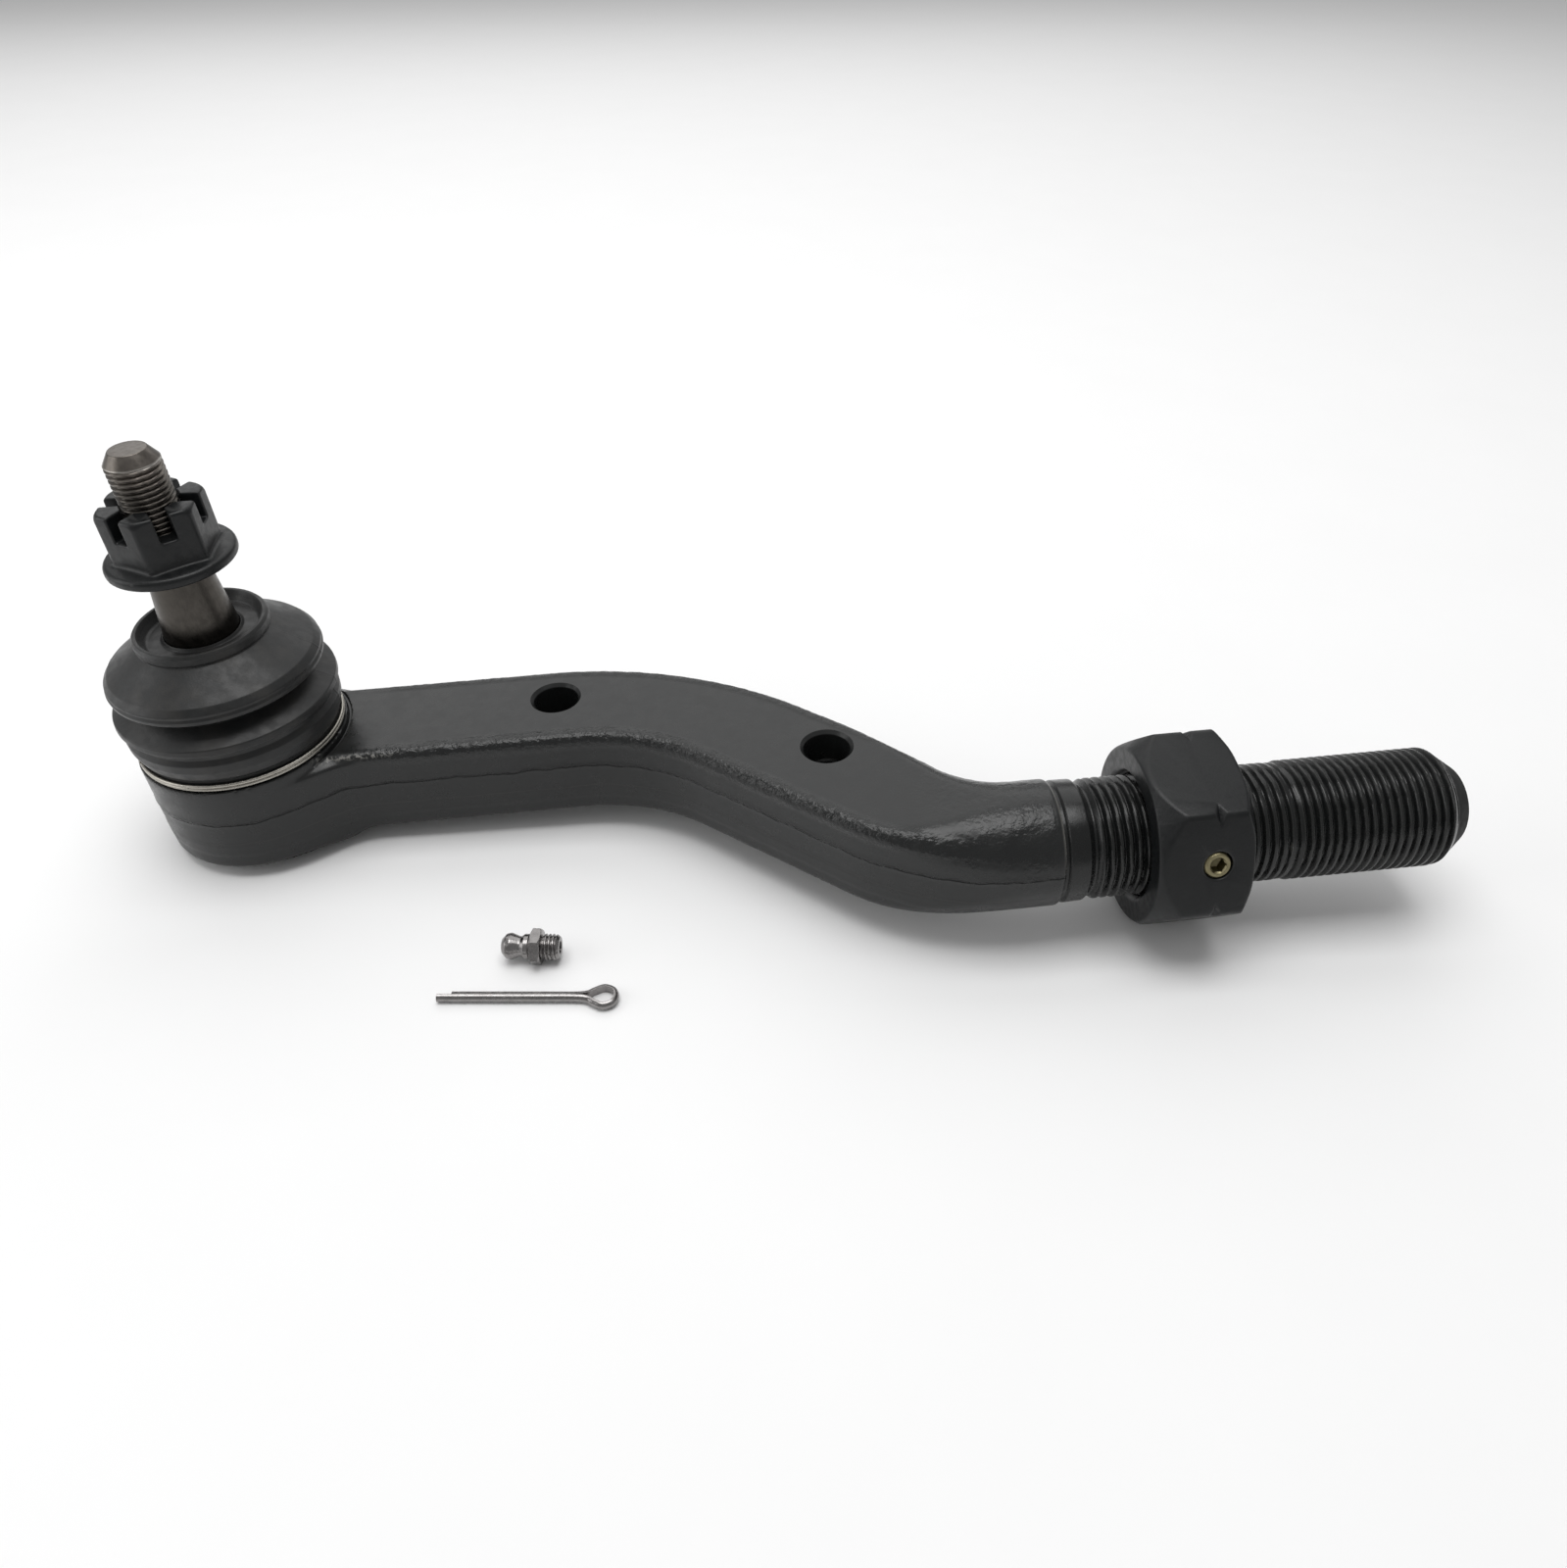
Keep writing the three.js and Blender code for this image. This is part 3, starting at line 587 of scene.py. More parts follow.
# ---- pieces of the ball joint ----
def make_stud(steel):
    flat_from = math.radians(74)
    neck_z = math.sqrt(BALL_R ** 2 - STUD_NECK_R ** 2)
    thread_low, relief_r, tip_r = 60, 5.3, 4.05
    ball = np.linspace(-flat_from, math.asin(neck_z / BALL_R), 40)
    upper = filleted([
        (STUD_NECK_R, neck_z, 0), (STUD_NECK_R, 17, 3), (8.1, 22.5, 3), (TAPER_R, 25, 2),
        (TAPER_R, 40.5, 3), (6.78, 57.4, 0.5), (relief_r, 58.2, 0.3), (relief_r, 59.2, 0.3),
        (STUD_THREAD_R, thread_low, 0), (STUD_THREAD_R, STUD_TOP - 2.9, 0.12),
        (tip_r, STUD_TOP - 0.12, 0.28), (0, STUD_TOP, 0),
    ])
    outline = [(0, -BALL_R * math.sin(flat_from))]
    outline += [(BALL_R * math.cos(a), BALL_R * math.sin(a)) for a in ball]
    outline += refined(upper[1:], thread_low, STUD_TOP - 2.4, STUD_PITCH / THREAD_ROWS)
    cut = thread(STUD_THREAD_R, STUD_PITCH, thread_low - 0.4, STUD_TOP - 2.75, fade=0.5)
    stud = add_mesh("ball_stud_turned", *turned(outline, 88, shape=cut), sharp=40)
    drill = turned(filleted([(0, -10, 0), (PIN_HOLE_R, -10, 0), (PIN_HOLE_R, 10, 0), (0, 10, 0)]), 32)
    across = Matrix.Translation((0, 0, PIN_HOLE_Z)) @ Matrix.Rotation(math.pi / 2, 4, "Y")
    boolean(stud, add_mesh("cutter", *drill, across), "DIFFERENCE")
    shade(stud, sharp=40)
    finish_piece(stud, "stud", ["ball_stud"], steel)


BOOT_FOOT, BOOT_LIP = (corner.z for corner in node_box("dust_boot"))
WAIST_Z = 27.3                       # where the two folds meet
WAIST_OUT_R, WAIST_IN_R = 20.3, 18.5
BOOT_OUTER = [
    (23.1, BOOT_FOOT, 0.15), (24.2, BOOT_FOOT, 0.2), (24.2, 12.3, 0.3), (25.0, 13.4, 0.5), (25.8, 15.8, 1.5),
    (25.9, 18.0, 0.7), (25.1, 19.4, 0.6), (25.3, 20.7, 0.6), (26.62, 21.5, 0.4), (26.45, 23.1, 0.6),
    (21.0, 26.3, 1.2), (WAIST_OUT_R, 27.0, 0.2), (WAIST_OUT_R, WAIST_Z, 0),
]
BOOT_INNER = [
    (WAIST_IN_R, WAIST_Z, 0), (WAIST_IN_R, 26.4, 0.6), (24.3, 22.0, 0.8), (24.0, 20.4, 0.8),
    (23.9, 17.2, 1.0), (22.98, 15.2, 0.4), (23.1, 13.2, 0.4),
]
BOOT_UPPER = [
    (WAIST_IN_R, WAIST_Z, 0), (18.7, 28.4, 0.5), (22.4, 30.3, 0.5), (22.9, 31.2, 0.4), (22.3, 32.3, 0.6),
    (14.4, 37.2, 0.8), (12.6, 37.3, 0.5), (8.8, 37.4, 0.1), (8.8, 40.3, 0.1), (9.5, 39.3, 0.8),
    (12.9, 39.2, 0.9), (13.7, 40.7, 0.8), (14.3, 42.0, 0.25), (15.05, 42.0, 0.3), (15.6, 41.3, 0.3),
    (15.6, 39.6, 0.1), (15.35, 38.9, 0.25), (23.9, 33.4, 1.5), (25.15, 31.9, 0.5), (25.05, 31.2, 0.35),
    (25.4, 30.6, 0.3), (25.2, 29.5, 0.5), (21.0, 28.3, 1.0), (WAIST_OUT_R, 27.7, 0.2),
    (WAIST_OUT_R, WAIST_Z, 0),
]


def boot_angles():
    """Even columns, and close ones at the mould seam on each side."""
    close = [k * math.radians(0.35) for k in range(-4, 5)]
    even = [k * TAU / 120 for k in range(120)]
    near = math.radians(1.6)
    angles = [a for a in even if min(a % math.pi, math.pi - a % math.pi) > near]
    return sorted(angles + [a % TAU for a in close] + [a + math.pi for a in close])


def seam(r, z, angle):
    """The mould's parting flash, a hair proud of the rubber."""
    height, width = 0.08, math.radians(0.45)
    off = (angle + math.pi / 2) % math.pi - math.pi / 2
    return r + height * np.exp(-(off / width) ** 2) * (r > 20)


def make_boot(rubber):
    folds = []
    for name, corners in (("boot_lower_fold", BOOT_OUTER + BOOT_INNER), ("boot_upper_fold", BOOT_UPPER)):
        outline = filleted(corners, closed=True, steps=8)
        fold = add_mesh(name, *turned(outline, closed=True, shape=seam, angles=boot_angles()), sharp=45)
        folds.append(finish_piece(fold, None, ["dust_boot"], rubber))
    lower, upper = folds
    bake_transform(lower)
    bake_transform(upper)


def make_boot_rings(bright):
    wire_r, turns, steps = 0.475, 2.03, 330
    around = RING_R - wire_r
    path = []
    for k in range(steps + 1):
        t = k / steps
        height = node_middle("boot_lower_ring", "z") + (smooth(0.4, 0.6, t) * 2 - 1) * wire_r * 0.95
        angle = math.radians(200) + t * turns * TAU
        path.append((around * math.cos(angle), around * math.sin(angle), height))
    ring = add_mesh("boot_clamp_wire", *swept(path, round_section(wire_r, 12)), sharp=50)
    finish_piece(ring, "arm", ["boot_lower_ring"], bright)
    low, high = (corner.z for corner in node_box("boot_neck_ring"))
    inner, outer = NECK_RING_R
    corners = [(inner, low, 0.2), (outer, low, 0.2), (outer, high, 0.2), (inner, high, 0.2)]
    band = add_mesh("boot_lip_band", *turned(filleted(corners, closed=True), 72, True), sharp=40)
    finish_piece(band, "collar", ["boot_neck_ring"], bright)


def make_bearings(sintered, plastic, bright, steel):
    """The two bearings round the ball, the spring washer under them and the cover plate."""

    def cup(low, high, count):
        radius = BALL_R + BALL_GAP
        angles = np.radians(np.linspace(low, high, count))
        return [(radius * math.cos(a), radius * math.sin(a), 0) for a in angles]

    shell, dish = SOCKET_R - 0.3, COVER_BOTTOM - COVER_DISH
    parts = [
        ("upper_bearing_ring", "upper_bearing", "sintered", sintered,
         cup(4, 22.3, 6) + [(11.1, 6.2, 0.2), (shell, 6.2, 0.4), (shell, 0.81, 0.3)]),
        ("lower_bearing_cup", "lower_bearing", "bearing_plastic", plastic,
         cup(-80, -2, 16) + [(shell, -0.4, 0.3), (shell, -10.5, 0.5), (13.2, -12.9, 0.5), (2.01, -12.9, 0)]),
        ("cup_spring_washer", "spring_washer", "bright_steel", bright,
         [(6, -13.9, 0.1), (15.6, -14.2, 0.1), (15.6, -13.5, 0.1), (6, -13.2, 0.1)]),
        ("housing_cover", "cover_plate", "bare_steel", steel,
         [(COVER_HOLE_R, COVER_BOTTOM, 0.2), (5.5, COVER_BOTTOM, 0.5), (6.3, dish, 0.5), (12, dish, 0.8),
          (13, COVER_BOTTOM, 0.6), (COVER_R, COVER_BOTTOM, 0.3), (COVER_R, COVER_TOP, 0.2),
          (COVER_HOLE_R, COVER_TOP, 0.1)]),
    ]
    for name, node, slot, material, corners in parts:
        piece = add_mesh(name, *turned(filleted(corners, closed=True), 96, True), sharp=40)
        finish_piece(piece, "arm", [node], material)


# ---- nuts and screws ----
def inner_thread(minor, pitch, z, angle):
    """Radius of a threaded bore, its crests at minor."""
    return minor + 0.3 * pitch * smooth(0.2, 0.85, thread_phase(pitch, z, angle))


def castle_distance(x, y, z):
    """The castle nut: a hexagon with six slots in its crown, over a round flange."""
    r = np.hypot(x, y)
    top = NUT_HIGH - NUT_LOW
    corner = CASTLE_AF / math.sqrt(3)
    crown = soft_max(hexagon(x, y, CASTLE_AF, math.pi / 6, 1.0), z - top, 0.9)
    chamfer = (r - corner + 0.2) * 0.8 + (z - top + 1.0) * 0.6
    crown = soft_max(crown, chamfer, 0.5)
    ridge_r = CASTLE_FLANGE_R - 1.1
    dished = (z - 2.65) * 0.98 - np.clip(ridge_r - r, 0, 3) * 0.16 + np.maximum(r - ridge_r, 0) * 0.2
    flange = soft_max(soft_max(r - CASTLE_FLANGE_R, -z, 0.9), dished, 1.1)
    nut = soft_min(crown, flange, 0.9)
    nut = soft_max(nut, -z, 0.5)
    for k in range(3):
        angle = k * math.pi / 3
        off = np.abs(-x * math.sin(angle) + y * math.cos(angle)) - SLOT_HALF
        slot = soft_max(off, top - SLOT_DEPTH - z, 0.9)
        nut = soft_max(nut, -slot, 0.45)
    bore = r - inner_thread(STUD_THREAD_R + 0.12, STUD_PITCH, z, np.arctan2(y, x))
    nut = soft_max(nut, -bore, 0.25)
    countersink = 0.7 * (r - 7.2) + 0.7 * z
    return soft_max(nut, -countersink, 0.2)


def make_castle_nut(oxide):
    reach, margin = CASTLE_FLANGE_R + 1, 0.8
    high = (reach, reach, NUT_HIGH - NUT_LOW + margin)
    points, quads = sculpted(castle_distance, (-reach, -reach, -margin), high, 0.22)
    nut = add_mesh("slotted_nut", points, quads, Matrix.Translation((0, 0, NUT_LOW)), sharp=60)
    thinned(nut, 0.45)
    shade(nut, sharp=60)
    finish_piece(nut, "castle_nut", ["castle_nut"], oxide)


def jam_distance(x, y, z):
    """The jam nut: a hexagon with a wide cone towards the arm, notched corners and a threaded bore."""
    y, z = y - SHANK_Y, z - ARM_MID
    r = np.hypot(y, z)
    from_arm, from_end = x - JAM_LOW, JAM_HIGH - x
    nut = hexagon(y, z, JAM_AF, JAM_ROLL, 0.9)
    nut = soft_max(nut, -from_arm, 0.5)
    nut = soft_max(nut, -from_end, 0.5)
    cone_length, cone_r = 5.9, 20.7
    cone = math.atan2(JAM_AF / math.sqrt(3) - cone_r, cone_length)
    nut = soft_max(nut, (r - cone_r - 0.1) * math.cos(cone) - from_arm * math.sin(cone), 0.35)
    nut = soft_max(nut, (r - 21.5) * 0.6 - from_end * 0.8, 0.4)
    notch = (23.3 - r + np.abs(x - SET_SCREW_X)) * 0.7
    nut = soft_max(nut, -notch, 0.2)
    bore = r - inner_thread(14.42, SHANK_PITCH, x, np.arctan2(-y, z))
    nut = soft_max(nut, -bore, 0.3)
    countersink = 0.7 * (r - 15.9) + 0.7 * np.minimum(from_arm, from_end)
    nut = soft_max(nut, -countersink, 0.3)
    up, across, elsewhere = SCREW_OUT.z, SCREW_OUT.y, 9
    out = y * across + z * up
    off = np.hypot(-y * up + z * across, x - SET_SCREW_X)
    hole = np.where(out > 0, off - 3.3, elsewhere)
    mouth = np.where(out > 0, 0.7 * (off - 3.5) + 0.7 * (JAM_AF / 2 - out), elsewhere)
    return soft_max(soft_max(nut, -hole, 0.25), -mouth, 0.2)


def make_jam_nut(oxide):
    low = (JAM_LOW - 1, SHANK_Y - 26, ARM_MID - 26)
    high = (JAM_HIGH + 1, SHANK_Y + 26, ARM_MID + 26)
    points, quads = sculpted(jam_distance, low, high, 0.34)
    nut = add_mesh("locking_nut", points, quads, sharp=60)
    thinned(nut, 0.4)
    shade(nut, sharp=60)
    finish_piece(nut, "jam_nut", ["jam_nut"], oxide)


def hexagon_limit(flats, low, high, corner=0.0):
    """For turned(): limits the radius to a hexagon between two heights."""

    def shape(r, z, angle):
        off = (angle - corner) % (math.pi / 3) - math.pi / 6
        flat = flats / 2 / np.cos(off)
        return np.where((z >= low) & (z <= high), np.minimum(r, flat), r)

    return shape


def out_of(direction, spot):
    """A matrix that sets a piece drawn along +Z at a spot, pointing in a direction."""
    return Matrix.Translation(spot) @ Vector((0, 0, 1)).rotation_difference(direction).to_matrix().to_4x4()


def make_set_screw(zinc):
    """A headless screw, drawn from its point up, with a hexagon socket."""
    outer, length, pitch, key = 3.175, 6.3, 0.9, 3.175
    outline = filleted([
        (0, 0, 0), (outer - 1, 0, 0.2), (outer, 1, 0.2), (outer, length - 0.45, 0.1),
        (outer - 0.5, length, 0.12), (1.95, length, 0.1), (1.85, length - 0.35, 0.05),
        (1.84, length - 3, 0), (0, length - 3.6, 0),
    ])
    outline = refined(outline, 0.9, length - 0.4, 1 / 12)
    cut = thread(outer, pitch, 0.6, length - 0.3, fade=0.3)
    socket = hexagon_limit(key, length - 3.05, length - 0.3)

    def shape(r, z, angle):
        return np.where(r < 2, socket(r, z, angle), cut(r, z, angle))

    spot = Vector((SET_SCREW_X, SHANK_Y, ARM_MID)) + SCREW_OUT * (JAM_AF / 2 - length - 0.1)
    screw = add_mesh("socket_set_screw", *turned(outline, 72, shape=shape), out_of(SCREW_OUT, spot))
    finish_piece(screw, "set_screw", ["set_screw"], zinc)


# ---- loose pieces ----
def loose_place(along, across, heading):
    """On the surface the part lies on, at a distance along and across from the housing's edge."""
    level = Vector((FITTING_AXIS.x, 0, FITTING_AXIS.z)).normalized()
    side = SURFACE_UP.cross(level)
    start = Vector((-LIP_R, 0, LIP_BOTTOM)) + level * along + side * across
    turn = Matrix((level, side, SURFACE_UP)).transposed().to_4x4()
    return Matrix.Translation(start) @ turn @ Matrix.Rotation(heading, 4, "Z")


def make_grease_fitting(zinc, bright):
    """The fitting, drawn from its rounded end up, with its ball and coil spring."""
    length, flats, thread_r, pitch = 13.7, 7.94, 3.15, 0.907
    hex_low, hex_high = 6.9, 9.4
    corner = flats / math.sqrt(3)
    heading = math.atan2(FITTING_AXIS.y, math.hypot(FITTING_AXIS.x, FITTING_AXIS.z))
    resting = loose_place(*FITTING_SPOT, heading) @ Matrix.Translation((0, 0, flats / 2))
    place = resting @ Matrix.Rotation(math.pi / 2, 4, "Y")
    outline = filleted([
        (0.8, 0, 0.1), (1.9, 0, 0.3), (2.95, 1.0, 0.5), (3.2, 2.1, 0.7), (2.45, 4.0, 0.5), (2.45, 4.5, 0.4),
        (3.0, 5.3, 0.3), (3.0, 6.3, 0.3), (2.75, 6.6, 0.1), (2.9, hex_low, 0), (3.9, hex_low, 0.1),
        (corner, hex_low + 0.4, 0.1), (corner, hex_high - 0.4, 0.1), (3.9, hex_high, 0.1),
        (2.9, hex_high + 0.1, 0.1), (2.65, 9.75, 0.1), (thread_r, 10.2, 0.1), (thread_r, 12.8, 0.2),
        (2.5, length, 0.2), (1.5, length, 0.1), (1.45, 1.4, 0.1), (0.8, 0.5, 0.1),
    ], closed=True)
    outline = refined(outline, hex_low - 0.1, length, 0.08)
    hexa = hexagon_limit(flats, hex_low - 0.1, hex_high + 0.1, math.pi / 6)
    screw = thread(thread_r, pitch, 9.8, 13.4, fade=0.4)

    def shape(r, z, angle):
        return np.where(r < 2, r, np.minimum(hexa(r, z, angle), screw(r, z, angle)))

    body = add_mesh("grease_nipple", *turned(outline, 96, True, shape), place)
    finish_piece(body, "grease_fitting", ["grease_fitting"], zinc)
    ball_r, ball_z = 1.25, 2.2
    ball = [(ball_r * math.sin(a), ball_z - ball_r * math.cos(a)) for a in np.linspace(0, math.pi, 17)]
    check = add_mesh("nipple_ball", *turned(ball, 32), place, sharp=60)
    finish_piece(check, "check_ball", ["grease_check_ball"], bright)
    coil_r, turns, coil_low, coil_length = 1.05, 9, 3.75, 8.2
    coil = [
        (coil_r * math.cos(t * turns * TAU), coil_r * math.sin(t * turns * TAU), coil_low + t * coil_length)
        for t in np.linspace(0, 1, 290)
    ]
    spring = add_mesh("nipple_spring", *swept(coil, round_section(0.17, 8)), place, sharp=60)
    finish_piece(spring, None, ["grease_spring"], bright)
    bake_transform(spring)


def smooth_path(knots, count):
    """Even points on a Catmull-Rom curve through the knots."""
    knots = np.array(knots, float)
    padded = np.vstack([2 * knots[0] - knots[1], knots, 2 * knots[-1] - knots[-2]])
    dense = []
    for a, b, c, d in zip(padded, padded[1:], padded[2:], padded[3:]):
        second, third = 2 * a - 5 * b + 4 * c - d, 3 * b - a - 3 * c + d
        for t in np.linspace(0, 1, 24, endpoint=False):
            dense.append(0.5 * (2 * b + (c - a) * t + second * t ** 2 + third * t ** 3))
    dense = np.array(dense + [knots[-1]])
    length = np.r_[0, np.cumsum(np.linalg.norm(np.diff(dense, axis=0), axis=1))]
    spots = np.linspace(0, length[-1], count)
    return np.stack([np.interp(spots, length, dense[:, k]) for k in range(dense.shape[1])], 1)


def make_cotter_pin(zinc):
    """Half-round wire bent round an eye, with its two flat sides together."""
    length, tall, wide, eye = 41.8, 2.4, 1.2, 2.9
    leg = wide / 2 + 0.08
    eye_x = length - eye - wide / 2
    around_eye = [
        (-7, -leg), (-4, -leg - 0.3), (-2.2, -eye + 0.9), (0, -eye), (2.2, -eye + 0.9), (eye, 0),
        (2.2, eye - 0.9), (0, eye), (-2.2, eye - 0.9), (-4, leg + 0.3), (-7, leg),
    ]
    knots = [(0, -leg), (12, -leg), (24, -leg)]
    knots += [(eye_x + x, y) for x, y in around_eye]
    knots += [(24, leg), (14, leg), (3.4, leg)]
    path = np.pad(smooth_path(knots, 260), ((0, 0), (0, 1)))
    angles = np.linspace(-math.pi / 2, math.pi / 2, 13)
    section = [(0.97 * wide * (math.cos(a) - 0.5), 0.97 * tall / 2 * math.sin(a)) for a in angles]
    section += [(-wide / 2, share * tall / 2) for share in (0.9, 0.5, 0, -0.5, -0.9)]
    place = loose_place(*PIN_SPOT, PIN_TURN) @ Matrix.Translation((0, 0, tall / 2))
    pin = add_mesh("split_pin", *swept(path, section), place, sharp=40)
    finish_piece(pin, "cotter_pin", ["cotter_pin"], zinc)


# ---- materials ----
class Surface:
    """A material's nodes, with short calls for the ones used here."""

    def __init__(self, name, metallic=0.0, specular=0.5, sheen=0.0):
        self.material = bpy.data.materials.new(name)
        self.material.use_nodes = True
        self.tree = self.material.node_tree
        self.shader = self.tree.nodes["Principled BSDF"]
        self.shader.inputs["Metallic"].default_value = metallic
        self.shader.inputs["Specular IOR Level"].default_value = specular
        self.shader.inputs["Sheen Weight"].default_value = sheen
        self.place = self.tree.nodes.new("ShaderNodeTexCoord").outputs["Object"]

    def node(self, kind, **settings):
        made = self.tree.nodes.new(kind)
        for key, value in settings.items():
            setattr(made, key, value)
        return made

    def link(self, source, target):
        self.tree.links.new(source, target)

    def stretched(self, scale):
        """The object's coordinates, scaled along each axis."""
        mapping = self.node("ShaderNodeMapping")
        mapping.inputs["Scale"].default_value = scale
        self.link(self.place, mapping.inputs["Vector"])
        return mapping.outputs["Vector"]

    def noise(self, size, detail=3.0, roughness=0.55, vector=None):
        """Noise with blobs of about that size in millimetres."""
        made = self.node("ShaderNodeTexNoise")
        made.inputs["Scale"].default_value = 1 / (size * MM)
        made.inputs["Detail"].default_value = detail
        made.inputs["Roughness"].default_value = roughness
        self.link(vector or self.place, made.inputs["Vector"])
        return made.outputs["Fac"]

    def span(self, value, low, high, to_low, to_high):
        made = self.node("ShaderNodeMapRange", interpolation_type="SMOOTHSTEP")
        for key, number in (("From Min", low), ("From Max", high), ("To Min", to_low), ("To Max", to_high)):
            made.inputs[key].default_value = number
        self.link(value, made.inputs["Value"])
        return made.outputs["Result"]

    def math(self, operation, a, b):
        made = self.node("ShaderNodeMath", operation=operation)
        for socket, value in zip(made.inputs, (a, b)):
            if isinstance(value, (int, float)):
                socket.default_value = value
            else:
                self.link(value, socket)
        return made.outputs["Value"]

    def mix(self, factor, first, second):
        made = self.node("ShaderNodeMix", data_type="RGBA")
        self.link(factor, made.inputs["Factor"])
        for socket, value in ((made.inputs[6], first), (made.inputs[7], second)):
            if isinstance(value, tuple):
                socket.default_value = (*value, 1)
            else:
                self.link(value, socket)
        return made.outputs[2]

    def attribute(self, name):
        return self.node("ShaderNodeAttribute", attribute_name=name).outputs["Fac"]

    def axis(self, name):
        made = self.node("ShaderNodeSeparateXYZ")
        self.link(self.place, made.inputs["Vector"])
        return made.outputs[name]

    def edge(self):
        """1 on convex edges, 0 on flats."""
        return self.span(self.node("ShaderNodeNewGeometry").outputs["Pointiness"], 0.51, 0.6, 0, 1)

    def finish(self, color, roughness, height=None, depth=0.05):
        """Links colour and roughness, and a height map whose depth is in millimetres."""
        self.link(color, self.shader.inputs["Base Color"])
        self.link(roughness, self.shader.inputs["Roughness"])
        if height is not None:
            bump = self.node("ShaderNodeBump")
            bump.inputs["Distance"].default_value = depth * MM
            bump.inputs["Strength"].default_value = 1
            self.link(height, bump.inputs["Height"])
            self.link(bump.outputs["Normal"], self.shader.inputs["Normal"])
        return self.material


def line_mask(s, height, width, wander):
    """1 on a thin, wandering level line, 0 away from it; all in millimetres."""
    wobble = s.math("MULTIPLY", s.math("SUBTRACT", s.noise(6, 4), 0.5), wander * MM)
    above = s.math("ADD", s.math("SUBTRACT", s.axis("Z"), height * MM), wobble)
    return s.span(s.math("ABSOLUTE", above, 0), 0, width * MM, 1, 0)


def black_paint():
    """Glossy paint, lumpy on the scaled edges and chipped where it has cracked; the chips and the upper half
    of the end rim get a light colour that is partly a painted highlight, and the parting line is darkened
    partly as painted shade.
    """
    s = Surface("black_paint", specular=0.42)
    parting = line_mask(s, PARTING_Z, 0.46, 2.0)
    draft = line_mask(s, DRAFT_LINE_Z, 0.3, 1.2)
    rough_edge = s.attribute("scale_edge")
    mottled = s.mix(s.noise(14, 4), (0.0075, 0.0083, 0.0086), (0.0120, 0.0125, 0.0122))
    # the parting line is painted dark: partly the flash line's own mark, partly painted shade under its ridge
    parting_shaded = s.mix(parting, mottled, (0.0012, 0.0012, 0.0012))
    color = s.mix(s.math("MULTIPLY", draft, 0.4), parting_shaded, (0.030, 0.028, 0.026))
    # light rim on the upper half of the forging's end: partly worn paint, partly a painted highlight where
    # the light falls on top
    end_rim_wear_and_highlight = s.span(s.axis("X"), (FORGING_END_X - 0.9) * MM, (FORGING_END_X - 0.3) * MM, 0, 1)
    upper = s.span(s.axis("Z"), ARM_MID * MM, ARM_TOP * MM, 0, 1)
    chipped = s.span(s.noise(0.9, 5, 0.7), 0.50, 0.56, 0, 1)
    # the cracks near the housing get the light colour below, partly a painted highlight on that lit edge
    bare_and_highlight = s.math("MULTIPLY", chipped, s.attribute("crackle_glint"))
    bare_and_highlight = s.math("MAXIMUM", bare_and_highlight, s.math("MULTIPLY", s.math("MULTIPLY", end_rim_wear_and_highlight, upper), 0.6))
    color = s.mix(bare_and_highlight, color, (0.22, 0.215, 0.20))
    worn = s.span(s.noise(3.5, 3), 0.3, 0.7, 0.26, 0.36)
    roughness = s.math("SUBTRACT", worn, s.math("MULTIPLY", rough_edge, 0.06))
    towards_shank = s.span(s.axis("X"), 160 * MM, 180 * MM, 1, 0.35)
    lumps = s.math("MULTIPLY", s.noise(1.8, 3, 0.5), s.math("MULTIPLY", rough_edge, towards_shank))
    grain_height = s.math("ADD", s.math("MULTIPLY", rough_edge, 0.25), 0.05)
    cast = s.math("ADD", lumps, s.math("MULTIPLY", s.noise(0.9, 3, 0.6), grain_height))
    height = s.math("SUBTRACT", cast, s.math("MULTIPLY", parting, 0.9))
    return s.finish(color, roughness, height, 0.36)


def machined_paint():
    """Thinner paint, rubbed on the crests; the end chamfer is rougher and has painted shade, a darker colour.
    """
    s = Surface("machined_black", specular=0.36)
    color = s.mix(s.noise(9, 3), (0.0045, 0.0052, 0.0055), (0.0085, 0.0088, 0.0085))
    rubbed = s.math("MULTIPLY", s.edge(), 0.3)
    color = s.mix(rubbed, color, (0.12, 0.12, 0.11))
    end_chamfer = s.span(s.axis("X"), (CHAMFER_X - 0.5) * MM, (CHAMFER_X + 0.3) * MM, 0, 1)
    # painted shade: a darker colour on the end chamfer, standing in for the dark it reflects
    color = s.mix(end_chamfer, color, (0.0015, 0.0016, 0.0016))
    roughness = s.span(s.noise(2.2, 3), 0.3, 0.7, 0.20, 0.32)
    roughness = s.math("ADD", roughness, s.math("MULTIPLY", end_chamfer, 0.5))
    return s.finish(color, roughness, s.noise(0.5, 2), 0.02)


def black_oxide():
    s = Surface("black_oxide", specular=0.30)
    color = s.mix(s.noise(4, 4), (0.0040, 0.0048, 0.0053), (0.0078, 0.0084, 0.0088))
    color = s.mix(s.math("MULTIPLY", s.edge(), 0.3), color, (0.08, 0.08, 0.078))
    roughness = s.span(s.noise(1.6, 4), 0.3, 0.7, 0.30, 0.44)
    return s.finish(color, roughness, s.noise(0.45, 3), 0.03)


def rubber():
    s = Surface("boot_rubber", specular=0.38, sheen=0.05)
    s.shader.inputs["Sheen Roughness"].default_value = 0.6
    dusty = s.span(s.noise(8, 5, 0.6), 0.42, 0.68, 0, 1)
    color = s.mix(dusty, (0.0060, 0.0066, 0.0068), (0.0145, 0.0138, 0.0125))
    roughness = s.span(s.noise(2.6, 4), 0.3, 0.7, 0.36, 0.50)
    return s.finish(color, roughness, s.noise(0.35, 3), 0.02)


